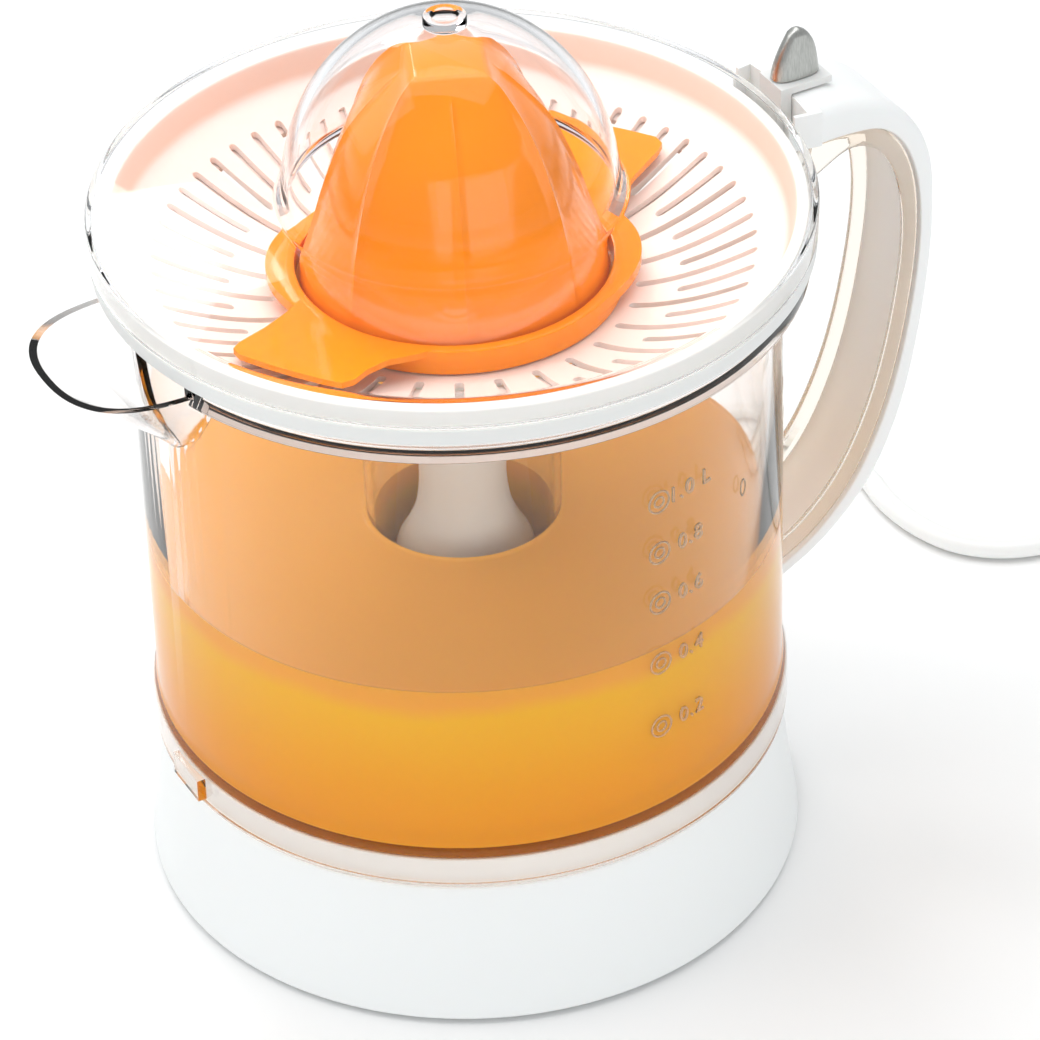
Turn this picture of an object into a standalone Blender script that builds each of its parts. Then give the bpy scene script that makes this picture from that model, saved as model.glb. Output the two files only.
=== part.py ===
"""Citrus press juicer: a motor base, a lift-off jug with a handle, a strainer with a pulp selector,
a turning cone with its sweeper, and a clear dust cover. Metres, +Z up, handle towards +X."""

import math

import bmesh
import bpy
from mathutils import Matrix

MM = 0.001
CLEARANCE = 0.3 * MM  # between pieces that touch

# Jug, whose radius and rim height set most of the rest
JUG_RADIUS = 70 * MM
JUG_RIM_Z = 156.7 * MM
JUG_WALL = 2 * MM
COLLAR_HEIGHT = 5 * MM
COLLAR_RADIUS = JUG_RADIUS + 5.8 * MM
COLUMN_RADIUS = 21.5 * MM
COLUMN_WALL = 1.8 * MM
COLUMN_SHOULDER_Z = JUG_RIM_Z - 38.7 * MM
COLUMN_TAPER = 11 * MM  # height of the shoulder between column and neck
NECK_TOP = JUG_RIM_Z - 20.7 * MM
SPOUT_REACH = JUG_RADIUS + 25.5 * MM
SPOUT_HALF_WIDTH = 22 * MM
SPOUT_FOOT_Z = JUG_RIM_Z - 28.7 * MM
SPOUT_LIP_Z = JUG_RIM_Z - 2.9 * MM
SPOUT_WALL = 1.6 * MM
SPOUT_LEVELS = (0, 0.15, 0.4, 0.7, 1)  # shares of its height

# Motor base
BASE_NECK_RADIUS = JUG_RADIUS + 0.2 * MM
BASE_FLARE = 3.8 * MM  # out to the floor
LEDGE_Z = 36.5 * MM  # the jug's skirt stands on this ledge
DECK_Z = LEDGE_Z + 6.3 * MM  # the jug's floor lies just above the deck
FOOT_HEIGHT = 1.2 * MM
FOOT_RADIUS = 6 * MM
FOOT_CIRCLE = 58 * MM
HOUSING_WALL = 2.4 * MM
TOWER_RADIUS = 9.5 * MM
TOWER_WALL = 1.9 * MM
TOWER_FOOT_RADIUS = COLUMN_RADIUS - COLUMN_WALL - 1.5 * MM
TOWER_TOP = JUG_RIM_Z - 18.7 * MM
PLATE_THICKNESS = 2.5 * MM
BOSS_RADIUS = 4 * MM
BOSS_CIRCLE = 60 * MM
SCREW_RADIUS = 1.4 * MM
SCREW_HEAD_RADIUS = 3 * MM
SCREW_HEAD = 1.1 * MM
SCREW_TOP = 14 * MM

# Cone, sweeper and drive
CONE_RADIUS = 33 * MM
CONE_HEIGHT = 52 * MM
CONE_WALL = 2.2 * MM
CONE_RIBS = 8
CONE_RIB_ANGLE = 22  # degrees from the handle to one of the ribs
CONE_GROOVE = 0.13  # share of the radius
CONE_CREST = [  # shares of the cone's height and radius along a rib
    (0, 1), (0.15, 0.945), (0.38, 0.83), (0.6, 0.685), (0.8, 0.55), (0.92, 0.42), (1, 0.24),
]
SWEEPER_RADIUS = CONE_RADIUS + 3.2 * MM
SWEEPER_HEIGHT = 6.4 * MM
SWEEPER_WALL = 2.3 * MM
SWEEPER_FLOOR = 1.6 * MM
WING_SHARE = 20 / 34  # of the way from the strainer's hub to the bowl's edge
WING_GAP = 1.12 * MM  # over the bowl, at the wing's end
WING_ANGLE = 26  # degrees from the handle to the middle of one wing
WING_SPAN = 28  # degrees
PRESS_TRAVEL = 2 * MM
SPINDLE_RADIUS = 4 * MM
SPINDLE_REACH = 24 * MM  # above the strainer's hub
COLLAR_STEP = 3 * MM  # of the spindle's collar over its flats
GEAR_MODULE = 1.32 * MM
PINION_TEETH = 10
WHEEL_TEETH = 30
WHEEL_WIDTH = 4 * MM
GEAR_PLATE_Z = DECK_Z - 17.8 * MM
GEAR_PLATE_THICKNESS = 2 * MM
GEAR_PLATE_RADIUS = 52 * MM
MOTOR_RADIUS = 19 * MM
MOTOR_SHAFT_RADIUS = 1.5 * MM
AXLE_RADIUS = 2 * MM
SPRING_WIRE = 1 * MM
SPRING_TURNS = 4

# Strainer, pulp selector and dust cover
RING_HEIGHT = 4 * MM  # the strainer's band above the jug's rim
RING_RADIUS = JUG_RADIUS + 7 * MM
BOWL_RADIUS = JUG_RADIUS + 1 * MM
BOWL_DEPTH = 14 * MM
HUB_RADIUS = SWEEPER_RADIUS + 0.8 * MM
FLOOR_THICKNESS = 1.5 * MM
LIP_HEIGHT = 6.5 * MM  # of the steep wall above the bowl's floor
SLOT_COUNT = 60
SLOT_WIDTH = 2 * MM
SLOT_OUTER = BOWL_RADIUS - 6.5 * MM
SLOT_INNER_LONG = HUB_RADIUS + 1.5 * MM
SLOT_INNER_SHORT = HUB_RADIUS + 11 * MM
WINDOW_COUNT = 20
SELECTOR_SWING = 4.5  # degrees each way
SELECTOR_THICKNESS = 1.2 * MM
SELECTOR_DROP = FLOOR_THICKNESS + 0.7 * MM  # from the bowl's surface to the selector's
ARM_HALF_WIDTH = 4.5 * MM
PLINTH_TOP = JUG_RIM_Z + 13.5 * MM  # under the lever
PLINTH_THICKNESS = 1.6 * MM
LEVER_HEIGHT = 11.5 * MM
COVER_RADIUS = RING_RADIUS + 0.3 * MM
COVER_WALL = 1.6 * MM
COVER_SKIRT = 6.8 * MM
DOME_RADIUS = CONE_RADIUS + 3 * MM
DOME_HEIGHT = CONE_HEIGHT - 10.5 * MM
KNOB_RADIUS = 4.6 * MM

# Handle. Its lines are drawn in mm, out from the jug's wall and up from the jug's rim,
# for a jug of the drawn height, and what is below the rim stretches with the jug.
HANDLE_HALF_WIDTH = 12 * MM
HANDLE_DRAWN_HEIGHT = 113.9 * MM
HANDLE_BACK = [
    (20, 11.1), (29.5, 7.9), (37.6, 0.9), (42.6, -8.2), (44.3, -18.7), (43.6, -36.7), (40.6, -58.7),
    (36, -77.7), (28.6, -93.2), (16.6, -105.1), (1.6, -113.7),
]
HANDLE_SEAM = [
    (21.4, 2.3), (29.4, 0.9), (35, -4.3), (38.6, -13.2), (40, -24.7), (39.3, -39.7), (36, -59.7),
    (31, -76.7), (23.4, -91.7), (13, -102.7), (1.6, -109.3),
]
HANDLE_FINGER_SIDE = [
    (1, -10.2), (11, -7.3), (21, -2.3), (27.6, -3.7), (32, -8.7), (34.6, -15.7), (35.9, -25.7),
    (35.1, -39.7),
    (31.7, -58.7), (26.7, -74.7), (19.6, -88.3), (10.4, -98.1), (1.6, -103.3),
]

# Cord
CORD_DIAMETER = 5.4 * MM
CORD_EXIT_ANGLE = 62  # degrees round the base from the handle
CORD_EXIT_Z = 12 * MM
GLAND_NECK = 5 * MM
GLAND_LENGTH = 18 * MM  # outside the housing
COIL_CENTRE = (217 * MM, -22 * MM)
COIL_RADIUS = 30 * MM  # to the middle of its turns
COIL_ACROSS = 2  # turns side by side
COIL_LAYERS = 3
CORD_ROUTE = [  # mm, from the strain relief to the coil
    (42.7, 80.2, 12), (47, 88, 10.6), (53.5, 96, 7), (63, 103.2, 3.8), (77, 108.2, 2.9), (94, 109.5, 2.9),
    (112, 105, 2.9), (127.5, 96, 2.9), (138, 84, 2.9), (143.2, 71, 2.9), (143.8, 60, 2.9), (142.6, 50, 2.9),
    (143.2, 40, 2.9), (145.9, 30.5, 2.9), (150.6, 23.4, 2.9), (157.5, 18.2, 2.9), (166, 15.2, 2.9),
    (176, 13.7, 2.9), (188, 13.1, 2.9), (201.3, 13, 2.9),
]
TAIL_ROUTE = [  # mm, from the coil's centre, from the top of the coil to the plug
    (-2, -29.8, 19.6), (-13, -26.9, 20.3), (-21.1, -18.8, 22.2), (-23.8, -11.5, 23.5), (-24, -5, 23.9),
]
PLUG_LENGTH = 34 * MM
PLUG_HALF_WIDTH = 13 * MM
PLUG_THICKNESS = 13.6 * MM
PIN_RADIUS = 2 * MM
PIN_LENGTH = 19 * MM
PIN_SPACING = 18.6 * MM

LARGE_STEPS = 36
SMALL_STEPS = 16

parts = None
cutters = None


def clear_scene():
    for thing in list(bpy.data.objects):
        bpy.data.objects.remove(thing, do_unlink=True)


def collection(name):
    made = bpy.data.collections.new(name)
    bpy.context.scene.collection.children.link(made)
    return made


def finish_of(name, colour, roughness, metallic=0.0, transmission=0.0):
    """A Principled material in a linear colour."""
    material = bpy.data.materials.new(name)
    material.use_nodes = True
    shader = material.node_tree.nodes["Principled BSDF"]
    shader.inputs["Base Color"].default_value = (*colour, 1)
    shader.inputs["Roughness"].default_value = roughness
    shader.inputs["Metallic"].default_value = metallic
    shader.inputs["Transmission Weight"].default_value = transmission
    return material


def add_part(name, mesh, material, place=(0, 0, 0)):
    part = bpy.data.objects.new(name, mesh)
    part.location = place
    if material:
        mesh.materials.clear()
        mesh.materials.append(material)
    parts.objects.link(part)
    return part


def polar(radius, degrees):
    angle = math.radians(degrees)
    return radius * math.cos(angle), radius * math.sin(angle)


def turned(name, profile, material, steps=LARGE_STEPS, closed=True, place=(0, 0, 0)):
    """A profile of (radius, height) points, running down its outer side, turned about Z."""
    mesh = bpy.data.meshes.new(name)
    count = len(profile)
    edges = [(i, i + 1) for i in range(count - 1)]
    if closed:
        edges.append((count - 1, 0))
    mesh.from_pydata([(r, 0, z) for r, z in profile], edges, [])
    part = add_part(name, mesh, material, place)
    turn = part.modifiers.new("Turn", "SCREW")
    turn.angle = math.tau
    turn.steps = steps
    turn.render_steps = steps
    turn.use_merge_vertices = True
    turn.merge_threshold = 0.00001
    turn.use_smooth_shade = True
    return part


def outline_mesh(name, outlines, low, high):
    """Flat outlines, given a thickness along Z, as one welded mesh. An outline inside another is a hole."""
    curve = bpy.data.curves.new(name + "_outline", "CURVE")
    curve.dimensions = "2D"
    curve.fill_mode = "BOTH"
    curve.extrude = (high - low) / 2
    for points in outlines:
        spline = curve.splines.new("POLY")
        spline.points.add(len(points) - 1)
        for point, (x, y) in zip(spline.points, points):
            point.co = (x, y, 0, 1)
        spline.use_cyclic_u = True
    drawn = bpy.data.objects.new(name + "_drawn", curve)
    cutters.objects.link(drawn)
    bpy.context.view_layer.update()
    mesh = bpy.data.meshes.new_from_object(drawn.evaluated_get(bpy.context.evaluated_depsgraph_get()))
    mesh.name = name
    bpy.data.objects.remove(drawn, do_unlink=True)
    shape = bmesh.new()
    shape.from_mesh(mesh)
    bmesh.ops.remove_doubles(shape, verts=shape.verts, dist=1e-6)
    bmesh.ops.translate(shape, verts=shape.verts, vec=(0, 0, (low + high) / 2))
    bmesh.ops.recalc_face_normals(shape, faces=shape.faces)
    shape.to_mesh(mesh)
    shape.free()
    return mesh


def side_plate(name, outline, half_width):
    """An outline in the XZ plane, given a thickness along Y."""
    mesh = outline_mesh(name, [outline], -half_width, half_width)
    mesh.transform(Matrix.Rotation(math.radians(90), 4, "X"))
    return mesh


def loft_mesh(name, rings):
    """Closed skin over rings of equally many points, each ring running anticlockwise seen from above."""
    shape = bmesh.new()
    rows = [[shape.verts.new(point) for point in ring] for ring in rings]
    count = len(rows[0])
    for lower, upper in zip(rows, rows[1:]):
        for i in range(count):
            shape.faces.new((lower[i], lower[(i + 1) % count], upper[(i + 1) % count], upper[i]))
    shape.faces.new(list(reversed(rows[0])))
    shape.faces.new(rows[-1])
    bmesh.ops.recalc_face_normals(shape, faces=shape.faces)
    mesh = bpy.data.meshes.new(name)
    shape.to_mesh(mesh)
    shape.free()
    return mesh


def cylinder_mesh(name, radius, low, high, steps=SMALL_STEPS, centre=(0, 0), top_radius=None):
    shape = bmesh.new()
    bmesh.ops.create_cone(
        shape, cap_ends=True, segments=steps, radius1=radius,
        radius2=radius if top_radius is None else top_radius, depth=high - low,
    )
    bmesh.ops.translate(shape, verts=shape.verts, vec=(centre[0], centre[1], (low + high) / 2))
    mesh = bpy.data.meshes.new(name)
    shape.to_mesh(mesh)
    shape.free()
    return mesh


def box_mesh(name, low, high):
    shape = bmesh.new()
    bmesh.ops.create_cube(shape, size=1)
    bmesh.ops.scale(shape, verts=shape.verts, vec=[h - l for l, h in zip(low, high)])
    bmesh.ops.translate(shape, verts=shape.verts, vec=[(l + h) / 2 for l, h in zip(low, high)])
    mesh = bpy.data.meshes.new(name)
    shape.to_mesh(mesh)
    shape.free()
    return mesh


def tool(mesh):
    """A hidden helper for a Boolean."""
    helper = bpy.data.objects.new(mesh.name, mesh)
    helper.hide_render = True
    helper.display_type = "WIRE"
    cutters.objects.link(helper)
    return helper


def apply_boolean(part, mesh_or_tool, operation="DIFFERENCE"):
    helper = mesh_or_tool if isinstance(mesh_or_tool, bpy.types.Object) else tool(mesh_or_tool)
    change = part.modifiers.new(helper.name, "BOOLEAN")
    change.operation = operation
    change.object = helper
    change.solver = "EXACT"


def hide_as_tool(part):
    part.hide_render = True
    part.display_type = "WIRE"
    parts.objects.unlink(part)
    cutters.objects.link(part)
    return part


def round_edges(part, width, segments=2, angle=40):
    edge = part.modifiers.new("Rounded edges", "BEVEL")
    edge.width = width
    edge.segments = segments
    edge.limit_method = "ANGLE"
    edge.angle_limit = math.radians(angle)


def sector(inner, outer, start, end, steps=6):
    """Outline of a ring's sector, in degrees."""
    angles = [start + (end - start) * i / steps for i in range(steps + 1)]
    return [polar(outer, a) for a in angles] + [polar(inner, a) for a in reversed(angles)]


def smooth_line(points, steps=4):
    """Points on a Catmull-Rom curve through the given ones."""
    ends = [points[0], *points, points[-1]]
    line = []
    for before, start, end, after in zip(ends, ends[1:], ends[2:], ends[3:]):
        for i in range(steps):
            t = i / steps
            line.append(tuple(
                0.5 * (2 * b + (c - a) * t + (2 * a - 5 * b + 4 * c - d) * t * t
                       + (3 * b - a - 3 * c + d) * t ** 3)
                for a, b, c, d in zip(before, start, end, after)
            ))
    line.append(tuple(points[-1]))
    return line


def beside(line, distance):
    """A line beside another, to the right of its direction."""
    moved = []
    for before, here, after in zip([line[0], *line], line, [*line[1:], line[-1]]):
        along = (after[0] - before[0], after[1] - before[1])
        length = math.hypot(*along)
        moved.append((here[0] + along[1] / length * distance, here[1] - along[0] / length * distance))
    return moved


def tube(name, points, diameter, material, sides_resolution=2):
    curve = bpy.data.curves.new(name, "CURVE")
    curve.dimensions = "3D"
    curve.bevel_depth = diameter / 2
    curve.bevel_resolution = sides_resolution
    curve.use_fill_caps = True
    spline = curve.splines.new("POLY")
    spline.points.add(len(points) - 1)
    for point, place in zip(spline.points, points):
        point.co = (*place, 1)
    return add_part(name, curve, material)


def base_radius(z):
    """The housing's outside: it flares out towards the floor."""
    rise = min(1, max(0, (z - FOOT_HEIGHT) / (LEDGE_Z - FOOT_HEIGHT)))
    return BASE_NECK_RADIUS + BASE_FLARE * (1 - rise) ** 1.7


def bowl_z(radius):
    """Top of the strainer's floor: flat at the hub, steeper towards the wall."""
    hub_z = JUG_RIM_Z + CLEARANCE + 1.4 * MM - BOWL_DEPTH
    share = max(0, (radius - HUB_RADIUS) / (BOWL_RADIUS - HUB_RADIUS))
    return hub_z + BOWL_DEPTH * share ** 1.6


def tower_profile(inset):
    """The tower over the deck, from its foot up, moved in by a wall's thickness."""
    return [
        (TOWER_FOOT_RADIUS - inset, DECK_Z - inset),
        (TOWER_FOOT_RADIUS - 3.6 * MM - inset, DECK_Z + 43 * MM),
        (TOWER_RADIUS + 0.5 * MM - inset, DECK_Z + 55 * MM),
        (TOWER_RADIUS - inset, DECK_Z + 63 * MM),
        (TOWER_RADIUS - inset, TOWER_TOP),
    ]


def skirt_inner():
    return JUG_RADIUS - JUG_WALL + 0.2 * MM


def deck_radius():
    return skirt_inner() - 2 * CLEARANCE


def plate_top():
    return FOOT_HEIGHT + CLEARANCE + PLATE_THICKNESS


def plate_radius():
    return base_radius(plate_top()) - HOUSING_WALL - CLEARANCE


def boss_places():
    return [polar(BOSS_CIRCLE, angle) for angle in (0, 90, 180, 270)]


def radial_cylinder(name, radius, start, end, end_radius=None):
    """A cylinder or cone along the cord's way out, between two distances from the axis."""
    mesh = cylinder_mesh(name, radius, start, end, SMALL_STEPS, top_radius=end_radius)
    mesh.transform(Matrix.Rotation(math.radians(90), 4, "Y"))
    mesh.transform(Matrix.Rotation(math.radians(CORD_EXIT_ANGLE), 4, "Z"))
    mesh.transform(Matrix.Translation((0, 0, CORD_EXIT_Z)))
    return mesh


def make_housing(white):
    rows = 3
    heights = [LEDGE_Z - (LEDGE_Z - FOOT_HEIGHT) * i / rows for i in range(rows + 1)]
    outside = [(base_radius(z), z) for z in heights]
    inside = [(base_radius(z) - HOUSING_WALL, min(z, LEDGE_Z - HOUSING_WALL)) for z in reversed(heights)]
    deck = deck_radius()
    profile = [
        *reversed(tower_profile(0)),
        (deck, DECK_Z), (deck, LEDGE_Z),
        *outside, *inside,
        (deck - HOUSING_WALL, LEDGE_Z - HOUSING_WALL), (deck - HOUSING_WALL, DECK_Z - HOUSING_WALL),
        *tower_profile(TOWER_WALL),
    ]
    housing = turned("motor_housing", profile, white)
    for i, place in enumerate(boss_places()):
        low = plate_top() + CLEARANCE
        boss = cylinder_mesh(f"boss_{i}", BOSS_RADIUS, low, DECK_Z - HOUSING_WALL / 2, 12, place)
        apply_boolean(housing, boss, "UNION")
        hole = cylinder_mesh(f"boss_hole_{i}", SCREW_RADIUS + CLEARANCE, 0, SCREW_TOP + 2 * MM, 8, place)
        apply_boolean(housing, hole)
    reach = base_radius(CORD_EXIT_Z)
    hole = radial_cylinder("gland_hole", GLAND_NECK + CLEARANCE, reach - 12 * MM, reach + 12 * MM)
    apply_boolean(housing, hole)


def make_base_plate(white, rubber, steel):
    high = plate_top()
    low = high - PLATE_THICKNESS
    plate = turned(
        "base_plate", [(0, high), (plate_radius(), high), (plate_radius(), low), (0, low)],
        white, closed=False,
    )
    vents = [sector(26 * MM, 44 * MM, angle, angle + 5, 1) for angle in range(20, 161, 20)]
    apply_boolean(plate, outline_mesh("vents", vents, low - 1 * MM, high + 1 * MM))
    seat = low + SCREW_HEAD
    for i, (x, y) in enumerate(boss_places()):
        hole = cylinder_mesh(f"screw_hole_{i}", SCREW_RADIUS + CLEARANCE, -1 * MM, 10 * MM, 12, (x, y))
        apply_boolean(plate, hole)
        counterbore = cylinder_mesh(
            f"screw_seat_{i}", SCREW_HEAD_RADIUS + CLEARANCE, -2 * MM, seat, 12, (x, y),
        )
        apply_boolean(plate, counterbore)
        screw = [
            (0, SCREW_TOP), (SCREW_RADIUS, SCREW_TOP), (SCREW_RADIUS, seat - CLEARANCE),
            (SCREW_HEAD_RADIUS, seat - CLEARANCE), (SCREW_HEAD_RADIUS, low + 0.1 * MM), (0, low + 0.1 * MM),
        ]
        turned(f"screw_{i + 1}", screw, steel, 12, closed=False, place=(x, y, 0))
    for i, angle in enumerate((45, 135, 225, 315)):
        foot_top = low - CLEARANCE
        foot = [(0, foot_top), (FOOT_RADIUS, foot_top), (FOOT_RADIUS - 0.6 * MM, 0), (0, 0)]
        turned(f"foot_{i + 1}", foot, rubber, 16, closed=False, place=(*polar(FOOT_CIRCLE, angle), 0))


def gear_outline(teeth, phase=0.0):
    """Tapered teeth with room to turn, one tooth's middle at phase (in teeth) from +X."""
    pitch = GEAR_MODULE * teeth / 2
    tip = pitch + 0.75 * GEAR_MODULE
    root = pitch - 1.05 * GEAR_MODULE
    points = []
    for i in range(teeth):
        for radius, share in ((root, -0.31), (tip, -0.13), (tip, 0.13), (root, 0.31)):
            points.append(polar(radius, 360 * (i + phase + share) / teeth))
    return points


def circle(radius, steps=12, turn=0.0):
    angles = [math.tau * i / steps + turn for i in range(steps)]
    return [(radius * math.cos(angle), radius * math.sin(angle)) for angle in angles]


def gear_spacing():
    return GEAR_MODULE * (PINION_TEETH + WHEEL_TEETH) / 2


def disc(name, inner, outer, low, high, material, steps=SMALL_STEPS, place=(0, 0, 0)):
    """A flat ring, or a solid round where the inner radius is 0."""
    if inner:
        profile = [(outer, high), (outer, low), (inner, low), (inner, high)]
    else:
        profile = [(0, high), (outer, high), (outer, low), (0, low)]
    return turned(name, profile, material, steps, closed=inner > 0, place=place)


def make_motor(steel, copper, brass, black, place):
    """Can, cap, winding, rotor and pinion of a small upright motor under the gear plate."""
    low = plate_top() + CLEARANCE
    high = GEAR_PLATE_Z - 3 * MM
    wall = 1.4 * MM
    can = [
        (MOTOR_RADIUS, high), (MOTOR_RADIUS, low), (0, low), (0, low + wall),
        (MOTOR_RADIUS - wall, low + wall), (MOTOR_RADIUS - wall, high),
    ]
    turned("motor_can", can, steel, 24, place=place)
    opening = MOTOR_SHAFT_RADIUS + 1.9 * MM
    disc("motor_cap", opening, MOTOR_RADIUS, high + CLEARANCE, GEAR_PLATE_Z - CLEARANCE, black, 24, place)
    disc("motor_coil", 11 * MM, MOTOR_RADIUS - 2 * MM, low + 2 * MM, high - 2 * MM, copper, place=place)
    shaft_top = gear_layer() + 7 * MM
    rotor = [
        (0, shaft_top), (MOTOR_SHAFT_RADIUS, shaft_top), (MOTOR_SHAFT_RADIUS, high - 3 * MM),
        (9 * MM, high - 3 * MM), (9 * MM, low + 3 * MM), (0, low + 3 * MM),
    ]
    turned("motor_rotor", rotor, steel, closed=False, steps=SMALL_STEPS, place=place)
    outlines = [gear_outline(PINION_TEETH, 0.5), circle(MOTOR_SHAFT_RADIUS + CLEARANCE)]
    pinion_low = gear_layer() - 0.4 * MM
    pinion = outline_mesh("motor_pinion", outlines, pinion_low, pinion_low + WHEEL_WIDTH + 1.8 * MM)
    add_part("motor_pinion", pinion, brass, place)


def gear_layer():
    """Underside of the first wheel."""
    return GEAR_PLATE_Z + GEAR_PLATE_THICKNESS + 1 * MM


def output_levels():
    low = gear_layer() + WHEEL_WIDTH + 1.3 * MM
    return low, low + WHEEL_WIDTH + 0.7 * MM


def make_drive(white, nylon, steel, copper, brass, black):
    """Motor pinion to the compound gear, and its small wheel to the output gear on the axis."""
    spacing = gear_spacing()
    layer = gear_layer()
    plate_high = GEAR_PLATE_Z + GEAR_PLATE_THICKNESS
    plate = disc("gear_plate", 0, GEAR_PLATE_RADIUS, GEAR_PLATE_Z, plate_high, white, 32)
    for i, angle in enumerate((30, 150, 270)):
        foot = polar(GEAR_PLATE_RADIUS - 5 * MM, angle)
        post = cylinder_mesh(f"post_{i}", 3 * MM, plate_top() + CLEARANCE, GEAR_PLATE_Z + 1 * MM, 12, foot)
        apply_boolean(plate, post, "UNION")
    holes = (
        ((0, 0), SPINDLE_RADIUS + 2 * CLEARANCE),
        ((-spacing, -spacing), MOTOR_SHAFT_RADIUS + 1.9 * MM),
        ((-spacing, 0), AXLE_RADIUS + CLEARANCE),
    )
    for i, (centre, radius) in enumerate(holes):
        hole = cylinder_mesh(
            f"plate_hole_{i}", radius, GEAR_PLATE_Z - 2 * MM, plate_high + 2 * MM, 12, centre,
        )
        apply_boolean(plate, hole)
    make_motor(steel, copper, brass, black, (-spacing, -spacing, 0))

    axle_place = (-spacing, 0, 0)
    disc("gear_axle", 0, AXLE_RADIUS, GEAR_PLATE_Z + CLEARANCE, layer + 12 * MM, steel, 12, axle_place)
    bore = circle(AXLE_RADIUS + CLEARANCE)
    wheel = outline_mesh("compound_gear", [gear_outline(WHEEL_TEETH), bore], layer, layer + WHEEL_WIDTH)
    compound = add_part("compound_gear", wheel, nylon, axle_place)
    output_low, output_high = output_levels()
    outlines = [gear_outline(PINION_TEETH), bore]
    small = tool(outline_mesh("compound_pinion", outlines, layer + 3 * MM, output_high + 0.6 * MM))
    small.location = axle_place
    apply_boolean(compound, small, "UNION")
    outlines = [gear_outline(WHEEL_TEETH, 0.5), circle(SPINDLE_RADIUS + CLEARANCE, 6)]
    add_part("output_gear", outline_mesh("output_gear", outlines, output_low, output_high), nylon)


def make_spindle(steel, brass, black):
    """The hexagonal spindle, which the cone presses down on the switch, and the spring that lifts it."""
    _, gear_top = output_levels()
    collar = gear_top + 9 * MM
    collar_radius = SPINDLE_RADIUS + COLLAR_STEP
    bottom = GEAR_PLATE_Z - 1 * MM
    top = bowl_z(0) + SPINDLE_REACH
    spindle = [
        (0, top), (SPINDLE_RADIUS, top), (SPINDLE_RADIUS, collar + 2.4 * MM),
        (collar_radius, collar + 2.4 * MM), (collar_radius, collar), (SPINDLE_RADIUS, collar),
        (SPINDLE_RADIUS, bottom), (0, bottom),
    ]
    turned("drive_spindle", spindle, steel, 6, closed=False)
    bush_outer = TOWER_RADIUS - TOWER_WALL - CLEARANCE
    bush_top = TOWER_TOP - 0.5 * MM
    disc("tower_bush", SPINDLE_RADIUS + CLEARANCE, bush_outer, bush_top - 7.5 * MM, bush_top, brass, 20)

    half = CLEARANCE + SPRING_WIRE / 2
    low, high = gear_top + half, collar - half
    per_turn = 9
    count = SPRING_TURNS * per_turn
    coil = []
    for i in range(count + 1):
        x, y = polar(SPINDLE_RADIUS + 1.7 * MM, 360 * i / per_turn)
        coil.append((x, y, low + (high - low) * i / count))
    tube("return_spring", coil, SPRING_WIRE, steel, 1)

    switch_low = plate_top() + CLEARANCE
    switch_high = bottom - 5 * MM
    switch_box = box_mesh("start_switch", (-10 * MM, -6 * MM, switch_low), (10 * MM, 6 * MM, switch_high))
    switch = add_part("start_switch", switch_box, black)
    plunger_radius = 2 * MM
    hole_radius = plunger_radius + 0.4 * MM
    hole = cylinder_mesh("plunger_hole", hole_radius, switch_high - 6 * MM, switch_high + 1 * MM, 12)
    apply_boolean(switch, hole)
    disc("switch_plunger", 0, plunger_radius, switch_high - 3 * MM, bottom - CLEARANCE, brass, 12)


def spout_rings(inset, foot_z, levels):
    """U-shaped rings, from the spout's foot on the wall up to its lip."""
    rings = []
    inner_x = JUG_RADIUS - 8 * MM
    for z in levels:
        share = min(1, max(0, (z - foot_z) / (SPOUT_LIP_Z - foot_z)))
        reach = JUG_RADIUS - 1 * MM + (SPOUT_REACH - JUG_RADIUS + 1 * MM) * share ** 1.25 - inset
        half = (3 * MM + (SPOUT_HALF_WIDTH - 3 * MM) * share ** 0.6) - inset
        ring = []
        steps = 10
        for i in range(steps + 1):
            angle = math.pi * (i / steps - 0.5)
            x = inner_x + (reach - inner_x) * math.cos(angle) ** 0.5 if 0 < i < steps else inner_x
            y = half * math.copysign(abs(math.sin(angle)) ** 0.85, math.sin(angle))
            ring.append((-x, y, z))
        rings.append(list(reversed(ring)))
    return rings


def spout_levels(foot_z):
    return [foot_z + (SPOUT_LIP_Z - foot_z) * share for share in SPOUT_LEVELS]


def neck_inner():
    return TOWER_RADIUS + 1.8 * MM


def notch_half_angle(radius, spare):
    """Half the angle that the selector's arm needs at a radius, in degrees."""
    return SELECTOR_SWING + math.degrees(ARM_HALF_WIDTH / radius) + spare


def selector_outer():
    return JUG_RADIUS - JUG_WALL - 2.4 * MM


def arm_low():
    """The lowest height of the selector's arm where it crosses the jug's wall."""
    return bowl_z(selector_outer()) - SELECTOR_DROP - 1.7 * MM


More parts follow.
